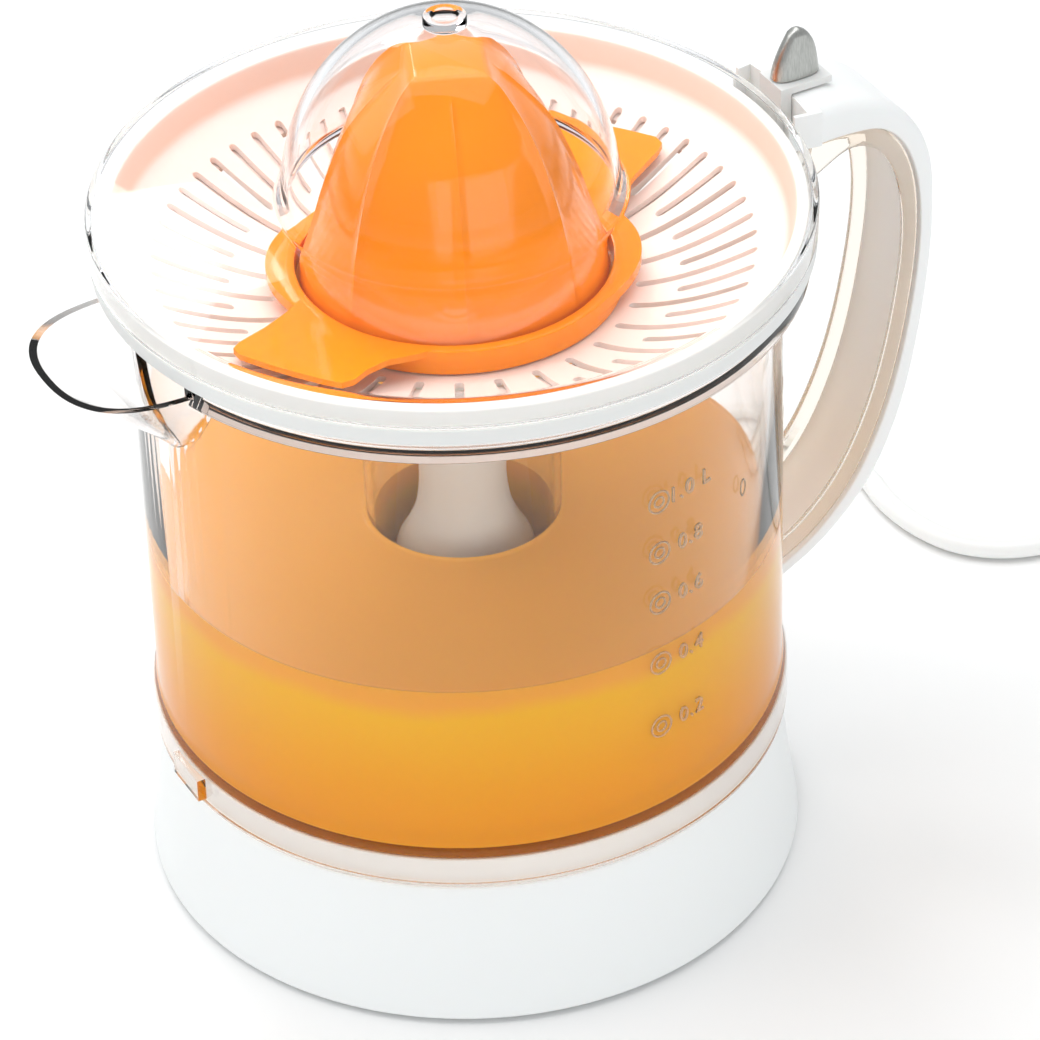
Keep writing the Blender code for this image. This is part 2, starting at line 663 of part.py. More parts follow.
def make_jug(clear):
    bottom = LEDGE_Z + CLEARANCE
    skirt_outer = JUG_RADIUS + 1.2 * MM
    underside = DECK_Z + 0.5 * MM
    floor = underside + 2 * MM
    inner = JUG_RADIUS - JUG_WALL
    collar_low = JUG_RIM_Z - COLLAR_HEIGHT
    collar_inner = BOWL_RADIUS + 0.6 * MM
    neck_outer = neck_inner() + COLUMN_WALL
    column_inner = COLUMN_RADIUS - COLUMN_WALL
    profile = [
        (collar_inner, JUG_RIM_Z), (COLLAR_RADIUS, JUG_RIM_Z), (COLLAR_RADIUS, collar_low),
        (JUG_RADIUS, collar_low - 1.6 * MM), (JUG_RADIUS, DECK_Z + 6 * MM), (skirt_outer, DECK_Z + 3 * MM),
        (skirt_outer, bottom), (skirt_inner(), bottom), (skirt_inner(), underside),
        (column_inner, underside),
        (column_inner, COLUMN_SHOULDER_Z), (neck_inner(), COLUMN_SHOULDER_Z + COLUMN_TAPER),
        (neck_inner(), NECK_TOP), (neck_outer, NECK_TOP),
        (neck_outer, COLUMN_SHOULDER_Z + COLUMN_TAPER + 1.5 * MM),
        (COLUMN_RADIUS, COLUMN_SHOULDER_Z + 1.5 * MM), (COLUMN_RADIUS, floor), (inner - 3 * MM, floor),
        (inner, floor + 3 * MM), (inner, collar_low - 1 * MM), (collar_inner, collar_low + 1.6 * MM),
    ]
    jug = turned("jug", profile, clear)
    outside = loft_mesh("spout_outside", spout_rings(0, SPOUT_FOOT_Z, spout_levels(SPOUT_FOOT_Z)))
    apply_boolean(jug, outside, "UNION")
    trim_low = SPOUT_FOOT_Z - 4 * MM
    trim = [
        (inner - 0.1 * MM, JUG_RIM_Z), (inner - 0.1 * MM, trim_low), (inner - 18 * MM, trim_low),
        (inner - 18 * MM, JUG_RIM_Z),
    ]
    apply_boolean(jug, hide_as_tool(turned("spout_trim", trim, None)))
    mouth_foot = SPOUT_FOOT_Z + 2.5 * MM
    rings = spout_rings(SPOUT_WALL, mouth_foot, spout_levels(mouth_foot))
    rings.append([(x, y, JUG_RIM_Z + 5 * MM) for x, y, _ in rings[-1]])
    apply_boolean(jug, loft_mesh("spout_mouth", rings))
    half = notch_half_angle(JUG_RADIUS, 1)
    notch = sector(JUG_RADIUS - 5 * MM, COLLAR_RADIUS + 2 * MM, -half, half)
    notch_low = min(collar_low - 1 * MM, arm_low() - CLEARANCE)
    apply_boolean(jug, outline_mesh("selector_notch", [notch], notch_low, JUG_RIM_Z + 2 * MM))
    lug_low = (-skirt_outer - 1.4 * MM, -9 * MM, LEDGE_Z + 2.5 * MM)
    lug_high = (-skirt_inner() - 1 * MM, 3 * MM, LEDGE_Z + 8 * MM)
    apply_boolean(jug, box_mesh("lug", lug_low, lug_high), "UNION")


def handle_line(points, top=()):
    """A smooth line through the handle's drawn points, after a first one at the top."""
    stretch = (JUG_RIM_Z - DECK_Z) / HANDLE_DRAWN_HEIGHT
    places = [
        (JUG_RADIUS + out * MM, JUG_RIM_Z + up * MM * (1 if up > 0 else stretch)) for out, up in points
    ]
    return smooth_line([*top, *places], 2)


def make_handle(white, clear):
    """A clear grip against the jug and a white cover over its back, with the lever's slot at its top."""
    pocket = COVER_RADIUS + 4 * MM
    collar_low = JUG_RIM_Z - COLLAR_HEIGHT
    arm_low = JUG_RIM_Z - 3 * MM
    back = handle_line(HANDLE_BACK, [(pocket, JUG_RIM_Z + 11.3 * MM)])
    seam = handle_line(HANDLE_SEAM, [(pocket, JUG_RIM_Z + 2.1 * MM)])
    finger = handle_line(HANDLE_FINGER_SIDE)
    outline = [*back, *reversed(seam)]
    cover = add_part("handle_cover", side_plate("handle_cover", outline, HANDLE_HALF_WIDTH), white)
    shelf = sector(COVER_RADIUS + 2 * CLEARANCE, pocket + 3 * MM, -9.2, 9.2)
    shelf_mesh = outline_mesh("handle_shelf", [shelf], JUG_RIM_Z + 2.7 * MM, JUG_RIM_Z + 10.9 * MM)
    apply_boolean(cover, shelf_mesh, "UNION")
    half = notch_half_angle(COVER_RADIUS, 0.4)
    slot = sector(COVER_RADIUS - 2 * MM, pocket - 0.2 * MM, -half, half)
    apply_boolean(cover, outline_mesh("selector_slot", [slot], JUG_RIM_Z - 7 * MM, PLINTH_TOP + 5 * MM))
    round_edges(cover, 1.6 * MM, 1, 50)

    top_edge = [
        (JUG_RADIUS + 1 * MM, collar_low - 2 * MM), (COLLAR_RADIUS + 0.8 * MM, collar_low - 1 * MM),
        (COLLAR_RADIUS + 0.8 * MM, arm_low), (pocket, arm_low),
    ]
    inner_seam = beside(seam, CLEARANCE)
    inner_seam[0] = (pocket, seam[0][1] - CLEARANCE)
    inner_seam[-1] = (seam[-1][0], seam[-1][1] + 2 * CLEARANCE)
    grip_outline = [*top_edge, *inner_seam, *reversed(finger)]
    add_part("handle_grip", side_plate("handle_grip", grip_outline, HANDLE_HALF_WIDTH - 0.6 * MM), clear)


def slot_outline(inner, outer, degrees, width):
    """A straight slot along a radius."""
    half = width / 2
    points = [(inner, -half), (outer, -half), (outer, half), (inner, half)]
    cos, sin = polar(1, degrees)
    return [(x * cos - y * sin, x * sin + y * cos) for x, y in points]


def bowl_line(inner, outer, drop, count=6):
    """Points along the bowl's floor, moved down."""
    radii = [inner + (outer - inner) * i / count for i in range(count + 1)]
    return [(radius, bowl_z(radius) - drop) for radius in radii]


def make_strainer(white):
    ring_low = JUG_RIM_Z + CLEARANCE
    ledge = ring_low + RING_HEIGHT
    lip = bowl_z(BOWL_RADIUS) + LIP_HEIGHT
    band = COVER_RADIUS - COVER_WALL - 0.5 * MM
    skirt_outer = JUG_RADIUS - JUG_WALL - 0.4 * MM
    skirt_in = skirt_outer - 1.4 * MM
    sleeve_in = neck_inner() + COLUMN_WALL + 0.8 * MM
    sleeve_out = sleeve_in + 1.6 * MM
    sleeve_low = NECK_TOP - 5 * MM
    hub_z = bowl_z(0)
    spindle_hole = SPINDLE_RADIUS + 2 * MM
    under = hub_z - FLOOR_THICKNESS
    profile = [
        (BOWL_RADIUS + 1.6 * MM, lip), (band, lip), (band, ledge), (RING_RADIUS, ledge),
        (RING_RADIUS, ring_low),
        (BOWL_RADIUS + 0.4 * MM, ring_low), (skirt_outer, bowl_z(skirt_outer) - FLOOR_THICKNESS - 0.4 * MM),
        (skirt_outer, ring_low - 9 * MM), (skirt_in, ring_low - 9 * MM),
        (skirt_in, bowl_z(skirt_in) - FLOOR_THICKNESS),
        *reversed(bowl_line(HUB_RADIUS, BOWL_RADIUS, FLOOR_THICKNESS, 2)[:-1]),
        (sleeve_out, under), (sleeve_out, sleeve_low), (sleeve_in, sleeve_low), (sleeve_in, under),
        (spindle_hole, under), (spindle_hole, hub_z),
        *bowl_line(HUB_RADIUS, BOWL_RADIUS, 0, 2),
    ]
    strainer = turned("strainer", profile, white, SLOT_COUNT // 2)
    pitch = 360 / SLOT_COUNT
    slots = [
        slot_outline(
            SLOT_INNER_SHORT if i % 2 else SLOT_INNER_LONG, SLOT_OUTER, pitch * (i + 0.5), SLOT_WIDTH,
        )
        for i in range(SLOT_COUNT)
    ]
    apply_boolean(strainer, outline_mesh("slots", slots, hub_z - 4 * MM, ledge + 3 * MM))
    half = notch_half_angle(JUG_RADIUS, 1)
    gap = sector(skirt_in - 0.4 * MM, skirt_outer + 1 * MM, -half, half)
    gap_top = bowl_z(skirt_in) - FLOOR_THICKNESS - 0.2 * MM
    apply_boolean(strainer, outline_mesh("skirt_gap", [gap], ring_low - 12 * MM, gap_top))


def make_selector(white, silver):
    """A slotted ring under the bowl with an arm that comes out over the handle and carries the lever."""
    drop = SELECTOR_DROP
    inner = HUB_RADIUS + 1.5 * MM
    outer = selector_outer()
    top = bowl_line(inner, outer, drop, 2)
    under = bowl_line(inner, outer, drop + SELECTOR_THICKNESS, 2)
    ring = turned("pulp_selector", [*reversed(top), *under], white, SLOT_COUNT // 2)
    pitch = 360 / WINDOW_COUNT
    windows = [
        slot_outline(SLOT_INNER_LONG + 1.5 * MM, SLOT_OUTER - 1.5 * MM, pitch * (i + 0.5), 4.4 * MM)
        for i in range(WINDOW_COUNT)
    ]
    apply_boolean(ring, outline_mesh("windows", windows, bowl_z(0) - 8 * MM, JUG_RIM_Z))
    root = outer - 1.5 * MM
    knee = JUG_RADIUS - 1.6 * MM
    step = BOWL_RADIUS + 1 * MM
    riser = COVER_RADIUS + 0.9 * MM
    arm_top = JUG_RIM_Z - 0.2 * MM
    plinth_end = COVER_RADIUS + 13.7 * MM
    plinth_low = PLINTH_TOP - PLINTH_THICKNESS
    arm = [
        (root, bowl_z(root) - drop - 0.3 * MM), (knee, bowl_z(outer) - drop - 0.2 * MM), (step, arm_top),
        (riser, arm_top), (riser, PLINTH_TOP), (plinth_end, PLINTH_TOP), (plinth_end, plinth_low),
        (riser + 2.6 * MM, plinth_low), (riser + 2.6 * MM, arm_top - 1.8 * MM), (step, arm_top - 1.8 * MM),
        (knee, arm_low()), (root, bowl_z(outer) - drop - 1.6 * MM),
    ]
    apply_boolean(ring, side_plate("selector_arm", arm, ARM_HALF_WIDTH), "UNION")

    rings = []
    for share in (0, 0.25, 0.5, 0.75, 0.92, 1):
        z = PLINTH_TOP + CLEARANCE + LEVER_HEIGHT * share
        front = COVER_RADIUS + (1.3 + 4.6 * share ** 1.6) * MM
        back = COVER_RADIUS + (12.7 - 1.2 * share - 4.2 * share ** 4) * MM
        half_thickness = (2.6 - 1.4 * share) * MM
        middle = (front + back) / 2
        rings.append([(middle + (back - front) / 2 * x, half_thickness * y, z) for x, y in circle(1)])
    add_part("lever_fin", loft_mesh("lever_fin", rings), silver)


def make_cover(clear):
    low = JUG_RIM_Z + CLEARANCE + RING_HEIGHT + CLEARANCE
    top = low + COVER_SKIRT
    under = top - COVER_WALL
    knob_top = top + DOME_HEIGHT + 1.4 * MM
    angles = [math.radians(90 - 18 * i) for i in range(6)]
    dome_out = [(DOME_RADIUS * math.cos(a), top + DOME_HEIGHT * math.sin(a)) for a in angles]
    bore = DOME_RADIUS - COVER_WALL
    dome_in = [(bore * math.cos(a), under + DOME_HEIGHT * math.sin(a)) for a in reversed(angles)]
    profile = [
        (0, knob_top), (KNOB_RADIUS, knob_top), (KNOB_RADIUS, top + DOME_HEIGHT - 0.5 * MM), *dome_out[1:],
        (COVER_RADIUS - 1 * MM, top), (COVER_RADIUS, top - 1 * MM), (COVER_RADIUS, low),
        (COVER_RADIUS - COVER_WALL, low), (COVER_RADIUS - COVER_WALL, under), *dome_in[:-1],
        (0, under + DOME_HEIGHT),
    ]
    turned("dust_cover", profile, clear, closed=False)


def make_sweeper(orange):
    """A shallow cup round the cone's foot, keyed to the spindle, with two wings that rise outwards."""
    reach = HUB_RADIUS + WING_SHARE * (BOWL_RADIUS - HUB_RADIUS)
    low = bowl_z(0) + 0.4 * MM
    floor = low + SWEEPER_FLOOR
    top = low + SWEEPER_HEIGHT
    bore = SWEEPER_RADIUS - SWEEPER_WALL
    cup = [(bore, top), (SWEEPER_RADIUS, top), (SWEEPER_RADIUS, low), (0, low), (0, floor), (bore, floor)]
    sweeper = turned("pulp_sweeper", cup, orange)
    hexagon = circle(SPINDLE_RADIUS + CLEARANCE, 6)
    apply_boolean(sweeper, outline_mesh("sweeper_hexagon", [hexagon], low - 1 * MM, floor + 1 * MM))
    half = WING_SPAN / 2
    wing_low = top - 2.4 * MM
    slope = (bowl_z(reach) + WING_GAP - wing_low) / (reach - SWEEPER_RADIUS)
    for i in range(2):
        middle = WING_ANGLE + 180 * i
        outline = [
            polar(SWEEPER_RADIUS - 1.2 * MM, middle - half - 6),
            polar(SWEEPER_RADIUS + 6 * MM, middle - half + 1),
            polar(reach - 3 * MM, middle - half), polar(reach, middle - half + 5),
            polar(reach + 1 * MM, middle), polar(reach, middle + half - 5),
            polar(reach - 3 * MM, middle + half), polar(SWEEPER_RADIUS + 4 * MM, middle + half),
            polar(SWEEPER_RADIUS - 1.2 * MM, middle + half + 4),
            polar(SWEEPER_RADIUS - 1.2 * MM, middle + half / 2), polar(SWEEPER_RADIUS - 1.2 * MM, middle),
            polar(SWEEPER_RADIUS - 1.2 * MM, middle - half / 2),
        ]
        wing = outline_mesh(f"wing_{i}", [outline], wing_low, wing_low + 2 * MM)
        for vertex in wing.vertices:
            vertex.co.z += slope * (math.hypot(vertex.co.x, vertex.co.y) - SWEEPER_RADIUS)
        apply_boolean(sweeper, wing, "UNION")


def make_cone(orange):
    """Eight ribs with grooves between them over a hollow cone, and a hub with the spindle's socket."""
    low = bowl_z(0) + 0.4 * MM + SWEEPER_FLOOR + PRESS_TRAVEL + 0.4 * MM
    rings = []
    for share, width in CONE_CREST:
        depth = CONE_GROOVE * min(1, share / 0.15) * (1 - 0.55 * share)
        ring = []
        for x, y in circle(1, 4 * CONE_RIBS, math.radians(CONE_RIB_ANGLE)):
            groove = abs(math.sin(CONE_RIBS / 2 * (math.atan2(y, x) - math.radians(CONE_RIB_ANGLE)))) ** 1.6
            radius = CONE_RADIUS * width * (1 - depth * groove)
            ring.append((radius * x, radius * y, low + CONE_HEIGHT * share))
        rings.append(ring)
    cone = add_part("reamer_cone", loft_mesh("reamer_cone", rings), orange)
    hub = SPINDLE_RADIUS + 4 * MM
    mouth = low - 2 * MM
    inside = [
        (CONE_RADIUS * width * (1 - CONE_GROOVE) - CONE_WALL, low + CONE_HEIGHT * share)
        for share, width in CONE_CREST[1:5]
    ]
    first = (CONE_RADIUS - CONE_WALL - 1 * MM, mouth)
    cavity = [*reversed(inside), first, (hub, mouth), (hub, inside[-1][1])]
    apply_boolean(cone, hide_as_tool(turned("cone_cavity", cavity, None, 24)))
    socket_top = bowl_z(0) + SPINDLE_REACH + CLEARANCE
    hexagon = circle(SPINDLE_RADIUS + CLEARANCE, 6)
    apply_boolean(cone, outline_mesh("cone_socket", [hexagon], mouth, socket_top))


def coil_size():
    """Inner radius, outer radius and top of the cord's coil."""
    half = COIL_ACROSS * CORD_DIAMETER / 2
    return COIL_RADIUS - half, COIL_RADIUS + half, CLEARANCE + COIL_LAYERS * CORD_DIAMETER


def make_cord(cord_white, steel):
    """Strain relief, the lead on the floor, its spare length in a coil, and a two-pin plug on the coil."""
    reach = base_radius(CORD_EXIT_Z)
    relief = radial_cylinder(
        "cord_gland", GLAND_NECK, reach - 8 * MM, reach + GLAND_LENGTH, CORD_DIAMETER / 2 + 0.8 * MM,
    )
    add_part("cord_gland", relief, cord_white)
    route = smooth_line([tuple(value * MM for value in point) for point in CORD_ROUTE], 2)
    tube("cord_run", route, CORD_DIAMETER, cord_white)
    inner, outer, top = coil_size()
    x, y = COIL_CENTRE
    disc("cord_coil", inner, outer, CLEARANCE, top, cord_white, 28, (x, y, 0))
    tail = smooth_line([(x + dx * MM, y + dy * MM, z * MM) for dx, dy, z in TAIL_ROUTE], 2)
    tube("cord_tail", tail, CORD_DIAMETER, cord_white)

    turn = Matrix.Translation(tail[-1]) @ Matrix.Rotation(math.radians(90), 4, "Z")
    half = PLUG_HALF_WIDTH
    sides = [
        (CLEARANCE, 3.6 * MM), (7 * MM, 5.6 * MM), (13 * MM, half - 1 * MM), (17 * MM, half),
        (PLUG_LENGTH, half),
    ]
    outline = [(along, -across) for along, across in sides]
    outline += [(along, across) for along, across in reversed(sides)]
    body = outline_mesh("mains_plug", [outline], -PLUG_THICKNESS / 2, PLUG_THICKNESS / 2)
    body.transform(turn)
    round_edges(add_part("mains_plug", body, cord_white), 2.4 * MM, 2, 60)
    for i, side in enumerate((-1, 1)):
        pin_start = PLUG_LENGTH + CLEARANCE
        pin = cylinder_mesh(f"plug_pin_{i + 1}", PIN_RADIUS, pin_start, pin_start + PIN_LENGTH, 10)
        pin.transform(Matrix.Rotation(math.radians(90), 4, "Y"))
        pin.transform(Matrix.Translation((0, side * PIN_SPACING / 2, 0)))
        pin.transform(turn)
        add_part(pin.name, pin, steel)


def main():
    global parts, cutters
    clear_scene()
    parts = collection("citrus_juicer")
    cutters = collection("cutters")
    white = finish_of("white_plastic", (0.86, 0.86, 0.85), 0.35)
    clear = finish_of("clear_plastic", (0.95, 0.93, 0.92), 0.05, transmission=1.0)
    blush = finish_of("strainer_plastic", (0.93, 0.86, 0.83), 0.4)
    orange = finish_of("orange_plastic", (1.0, 0.34, 0.0), 0.25)
    rubber = finish_of("grey_rubber", (0.3, 0.3, 0.3), 0.8)
    steel = finish_of("steel", (0.6, 0.6, 0.6), 0.3, 1.0)
    silver = finish_of("brushed_silver", (0.62, 0.62, 0.6), 0.35, 1.0)
    brass = finish_of("brass", (0.75, 0.55, 0.25), 0.35, 1.0)
    copper = finish_of("copper_wire", (0.72, 0.32, 0.16), 0.4, 1.0)
    nylon = finish_of("nylon", (0.82, 0.81, 0.76), 0.45)
    black = finish_of("black_plastic", (0.03, 0.03, 0.03), 0.45)
    cord_white = finish_of("cord_white", (0.85, 0.85, 0.84), 0.5)

    make_housing(white)
    make_base_plate(white, rubber, steel)
    make_drive(white, nylon, steel, copper, brass, black)
    make_spindle(steel, brass, black)
    make_jug(clear)
    make_handle(white, clear)
    make_strainer(blush)
    make_selector(white, silver)
    make_cover(clear)
    make_sweeper(orange)
    make_cone(orange)
    make_cord(cord_white, steel)


main()
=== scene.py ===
import math

import bmesh
import bpy
from mathutils import Matrix, Vector


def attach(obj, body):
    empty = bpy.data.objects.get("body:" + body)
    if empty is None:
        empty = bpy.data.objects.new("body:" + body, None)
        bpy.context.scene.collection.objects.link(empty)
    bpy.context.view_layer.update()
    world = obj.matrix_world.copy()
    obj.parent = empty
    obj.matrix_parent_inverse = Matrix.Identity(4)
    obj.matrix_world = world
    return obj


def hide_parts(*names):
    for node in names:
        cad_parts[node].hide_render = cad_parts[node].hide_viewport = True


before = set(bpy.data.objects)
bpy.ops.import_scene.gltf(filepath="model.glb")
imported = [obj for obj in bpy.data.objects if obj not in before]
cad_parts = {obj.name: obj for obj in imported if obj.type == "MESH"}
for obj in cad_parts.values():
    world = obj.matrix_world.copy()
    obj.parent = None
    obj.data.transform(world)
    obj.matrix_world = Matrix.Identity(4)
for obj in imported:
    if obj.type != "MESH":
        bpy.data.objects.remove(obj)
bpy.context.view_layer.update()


# ---- Camera and light ----
# A long lens looks down on the juicer between its spout and its front, under broad soft lamps in a pale
# room, on a plain white table. The front lamp lights without showing as a patch in the gloss.

def linear(code):
    """An sRGB hex colour as linear red, green, blue and alpha."""
    channels = [int(code[i:i + 2], 16) / 255 for i in (1, 3, 5)]
    return (*[c / 12.92 if c <= 0.04045 else ((c + 0.055) / 1.055) ** 2.4 for c in channels], 1)


def add_node(tree, kind, settings=(), **links):
    """A shader node with its settings by attribute or by input name, and its inputs' links."""
    node = tree.nodes.new(kind)
    for name, value in dict(settings).items():
        if hasattr(node, name):
            setattr(node, name, value)
        else:
            node.inputs[name].default_value = value
    for name, socket in links.items():
        tree.links.new(socket, node.inputs[name.replace("_", " ")])
    return node


def add_lamp(name, place, target, width, height, power):
    data = bpy.data.lights.new(name, "AREA")
    data.shape = "RECTANGLE"
    data.size, data.size_y = width, height
    data.energy = power
    lamp = bpy.data.objects.new(name, data)
    scene.collection.objects.link(lamp)
    turn = (Vector(target) - Vector(place)).to_track_quat("-Z", "Y")
    lamp.matrix_world = Matrix.LocRotScale(Vector(place), turn, None)
    return lamp


scene = bpy.context.scene
scene.view_settings.view_transform = "Standard"
camera_data = bpy.data.cameras.new("camera")
camera_data.lens = 173.6
camera_data.sensor_width = 36
camera = bpy.data.objects.new("camera", camera_data)
scene.collection.objects.link(camera)
camera.matrix_world = Matrix((
    (0.87544, 0.30419, -0.37559, -0.40421),
    (-0.48264, 0.50882, -0.71286, -0.79331),
    (-0.02574, 0.80534, 0.59225, 0.73621),
    (0, 0, 0, 1),
))
scene.camera = camera

world = bpy.data.worlds.new("pale_room")
world.use_nodes = True
world.node_tree.nodes["Background"].inputs["Color"].default_value = linear("#F4F6F8")
world.node_tree.nodes["Background"].inputs["Strength"].default_value = 0.6
scene.world = world
add_lamp("window", (-0.75, 0.35, 0.95), (0, 0, 0.1), 0.7, 0.9, 3.6)
add_lamp("overhead", (0.15, 0.2, 1.25), (0, 0, 0.05), 1.3, 1.1, 8)
front_fill = add_lamp("front_fill", (-0.25, -1.15, 0.42), (0, 0, 0.07), 1.1, 0.6, 3.2)
front_fill.visible_glossy = False
add_lamp("back_glint", (0.1, 1.2, 1.0), (0, 0, 0.15), 0.45, 0.3, 3)

table_mesh = bpy.data.meshes.new("table")
table_bm = bmesh.new()
bmesh.ops.create_grid(table_bm, x_segments=1, y_segments=1, size=6)
table_bm.to_mesh(table_mesh)
table_bm.free()
table = bpy.data.objects.new("table", table_mesh)
scene.collection.objects.link(table)
table_paint = bpy.data.materials.new("matt_white_table")
table_paint.use_nodes = True
table_paint.node_tree.nodes["Principled BSDF"].inputs["Base Color"].default_value = linear("#FBFCFC")
table_paint.node_tree.nodes["Principled BSDF"].inputs["Roughness"].default_value = 0.75
table.data.materials.append(table_paint)


# ---- Mains lead ----
# A white two-core PVC lead, extruded flat with a groove between its cores. It leaves the back of the base,
# lies on the table, and its spare length is wound in a small coil with the plug on top.

MM = 0.001
CORD_WIDTH = 5.4
EXIT = (0.0427, 0.0802, 0.012)
COIL_MIDDLE = (217, -22)
COIL_TURNS = [(32.7, 3.0), (27.3, 3.0), (27.3, 8.4), (32.7, 8.4), (32.7, 13.8), (27.3, 13.8)]
RUN = [
    (39.9, 75, 12), (42.7, 80.2, 12), (47, 88, 10.6), (53.5, 96, 7), (63, 103.2, 3.8), (77, 108.2, 2.9),
    (94, 109.5, 2.9), (112, 105, 2.9), (127.5, 96, 2.9), (138, 84, 2.9), (143.2, 71, 2.9), (143.8, 60, 2.9),
    (142.6, 50, 2.9), (143.2, 40, 2.9), (145.9, 30.5, 2.9), (150.6, 23.4, 2.9), (157.5, 18.2, 2.9),
    (166, 15.2, 2.9), (176, 13.7, 2.9), (188, 13.1, 2.9), (201.3, 13, 2.9),
]
TAIL = [(-2, -29.8, 19.6), (-13, -26.9, 20.3), (-21.1, -18.8, 22.2), (-23.8, -11.5, 23.5), (-24, -5, 23.9)]


def smooth_line(points, steps):
    """Catmull-Rom points through the given ones, with so many steps between two of them."""
    points = [Vector(p) for p in points]
    ends = [2 * points[0] - points[1], *points, 2 * points[-1] - points[-2]]
    line = []
    for a, b, c, d in zip(ends, ends[1:], ends[2:], ends[3:]):
        for i in range(steps):
            t = i / steps
            line.append(0.5 * (2 * b + (c - a) * t + (2 * a - 5 * b + 4 * c - d) * t * t
                               + (3 * b - a - 3 * c + d) * t ** 3))
    return [*line, points[-1]]


def ease(low, high, value):
    share = min(1, max(0, (value - low) / (high - low)))
    return share * share * (3 - 2 * share)


def coil_points():
    """The turns in order, each easing to the next one's radius and height over its last fifth.

    The last half turn rises onto the coil, where the tail crosses to the plug.
    """
    points = []
    count = 30
    for i in range(1, 5 * count + count // 2 - 1):
        turn, share = divmod(i / count, 1)
        radius, height = COIL_TURNS[int(turn)]
        if turn < 5:
            move = ease(0.8, 1, share)
            next_radius, next_height = COIL_TURNS[int(turn) + 1]
        else:
            move = ease(0, 0.5, share)
            next_radius, next_height = 29.9, 19.6
        radius += (next_radius - radius) * move
        height += (next_height - height) * move
        angle = math.radians(90) - math.tau * i / count
        x, y = COIL_MIDDLE
        points.append((x + radius * math.cos(angle), y + radius * math.sin(angle), height))
    return points


def curve_line(name, points, closed=False):
    """A curve object's data with one spline of straight steps through the points, given in mm."""
    data = bpy.data.curves.new(name, "CURVE")
    data.dimensions = "3D"
    spline = data.splines.new("POLY")
    spline.points.add(len(points) - 1)
    for spot, point in zip(spline.points, points):
        spot.co = (*(value * MM for value in point), 1)
    spline.use_cyclic_u = closed
    return data


def two_core_section():
    """A flat oval with a groove along the middle of its top and bottom."""
    points = []
    for i in range(24):
        angle = math.tau * i / 24
        groove = 0.55 * math.exp(-(math.cos(angle) / 0.22) ** 2)
        x = CORD_WIDTH / 2 * math.copysign(abs(math.cos(angle)) ** 0.9, math.cos(angle))
        y = (2.35 - groove) * math.copysign(abs(math.sin(angle)) ** 0.8, math.sin(angle))
        points.append((x, y, 0))
    return points


def principled(name, colour, roughness, **settings):
    """A material with one Principled BSDF, and its node tree and shader."""
    material = bpy.data.materials.new(name)
    material.use_nodes = True
    tree = material.node_tree
    shader = tree.nodes["Principled BSDF"]
    shader.inputs["Base Color"].default_value = linear(colour)
    shader.inputs["Roughness"].default_value = roughness
    for key, value in settings.items():
        shader.inputs[key.replace("_", " ")].default_value = value
    return material, tree, shader


def texture_place(tree, scale=(1, 1, 1)):
    """Object coordinates in metres, stretched by the scale."""
    place = add_node(tree, "ShaderNodeTexCoord")
    return add_node(tree, "ShaderNodeMapping", {"Scale": scale}, Vector=place.outputs["Object"])


def grain(tree, shader, size, strength, roughness=None, stretch=(1, 1, 1)):
    """A fine uneven surface, size in mm from bump to bump, and a small change of gloss over it."""
    place = texture_place(tree, stretch)
    noise = add_node(
        tree, "ShaderNodeTexNoise", {"Scale": 1 / (size * MM), "Detail": 3}, Vector=place.outputs["Vector"],
    )
    bump = add_node(
        tree, "ShaderNodeBump", {"Strength": strength, "Distance": 0.0002}, Height=noise.outputs["Fac"],
    )
    tree.links.new(bump.outputs["Normal"], shader.inputs["Normal"])
    if roughness:
        spread = add_node(
            tree, "ShaderNodeMapRange", {"To Min": roughness[0], "To Max": roughness[1]},
            Value=noise.outputs["Fac"],
        )
        tree.links.new(spread.outputs["Result"], shader.inputs["Roughness"])
    return noise


def mottle(tree, shader, noise, low, high):
    """The base colour between two close shades, by a noise."""
    blend = add_node(tree, "ShaderNodeMix", {"data_type": "RGBA"})
    blend.inputs[6].default_value = linear(low)
    blend.inputs[7].default_value = linear(high)
    tree.links.new(noise.outputs["Fac"], blend.inputs[0])
    tree.links.new(blend.outputs[2], shader.inputs["Base Color"])


def place_piece(name, data, material, body, nodes=(), bevel=0, angle=30, segments=3):
    """An object for the mesh or curve, with its finish, on its body, standing for the CAD nodes."""
    piece = bpy.data.objects.new(name, data)
    scene.collection.objects.link(piece)
    data.materials.append(material)
    if bevel:
        edge = piece.modifiers.new("edges", "BEVEL")
        edge.limit_method = "ANGLE"
        edge.angle_limit = math.radians(angle)
        edge.width = bevel * MM
        edge.segments = segments
        edge.use_clamp_overlap = True
    if isinstance(data, bpy.types.Mesh):
        data.shade_smooth()
        data.set_sharp_from_angle(angle=math.radians(35))
    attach(piece, body)
    if nodes:
        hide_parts(*nodes)
    return piece


def mesh_from(bm, name):
    mesh = bpy.data.meshes.new(name)
    bm.to_mesh(mesh)
    bm.free()
    return mesh


cord_pvc, tree, shader = principled("extruded_white_pvc", "#F4F4F2", 0.42, Subsurface_Weight=0.05)
grain(tree, shader, 1.2, 0.08, (0.36, 0.5))

x, y = COIL_MIDDLE
tail = [(x + dx, y + dy, z) for dx, dy, z in TAIL]
line = smooth_line([*RUN, *coil_points(), *tail], 3)
lead_data = curve_line("mains_lead", line)
section_data = curve_line("two_core_section", two_core_section(), closed=True)
section = bpy.data.objects.new("two_core_section", section_data)
lead_data.bevel_mode = "OBJECT"
lead_data.bevel_object = section
lead_data.use_fill_caps = True
lead_data.twist_mode = "Z_UP"
lead = place_piece(
    "mains_lead", lead_data, cord_pvc, "base", ["cord_run", "cord_coil", "cord_tail"],
)


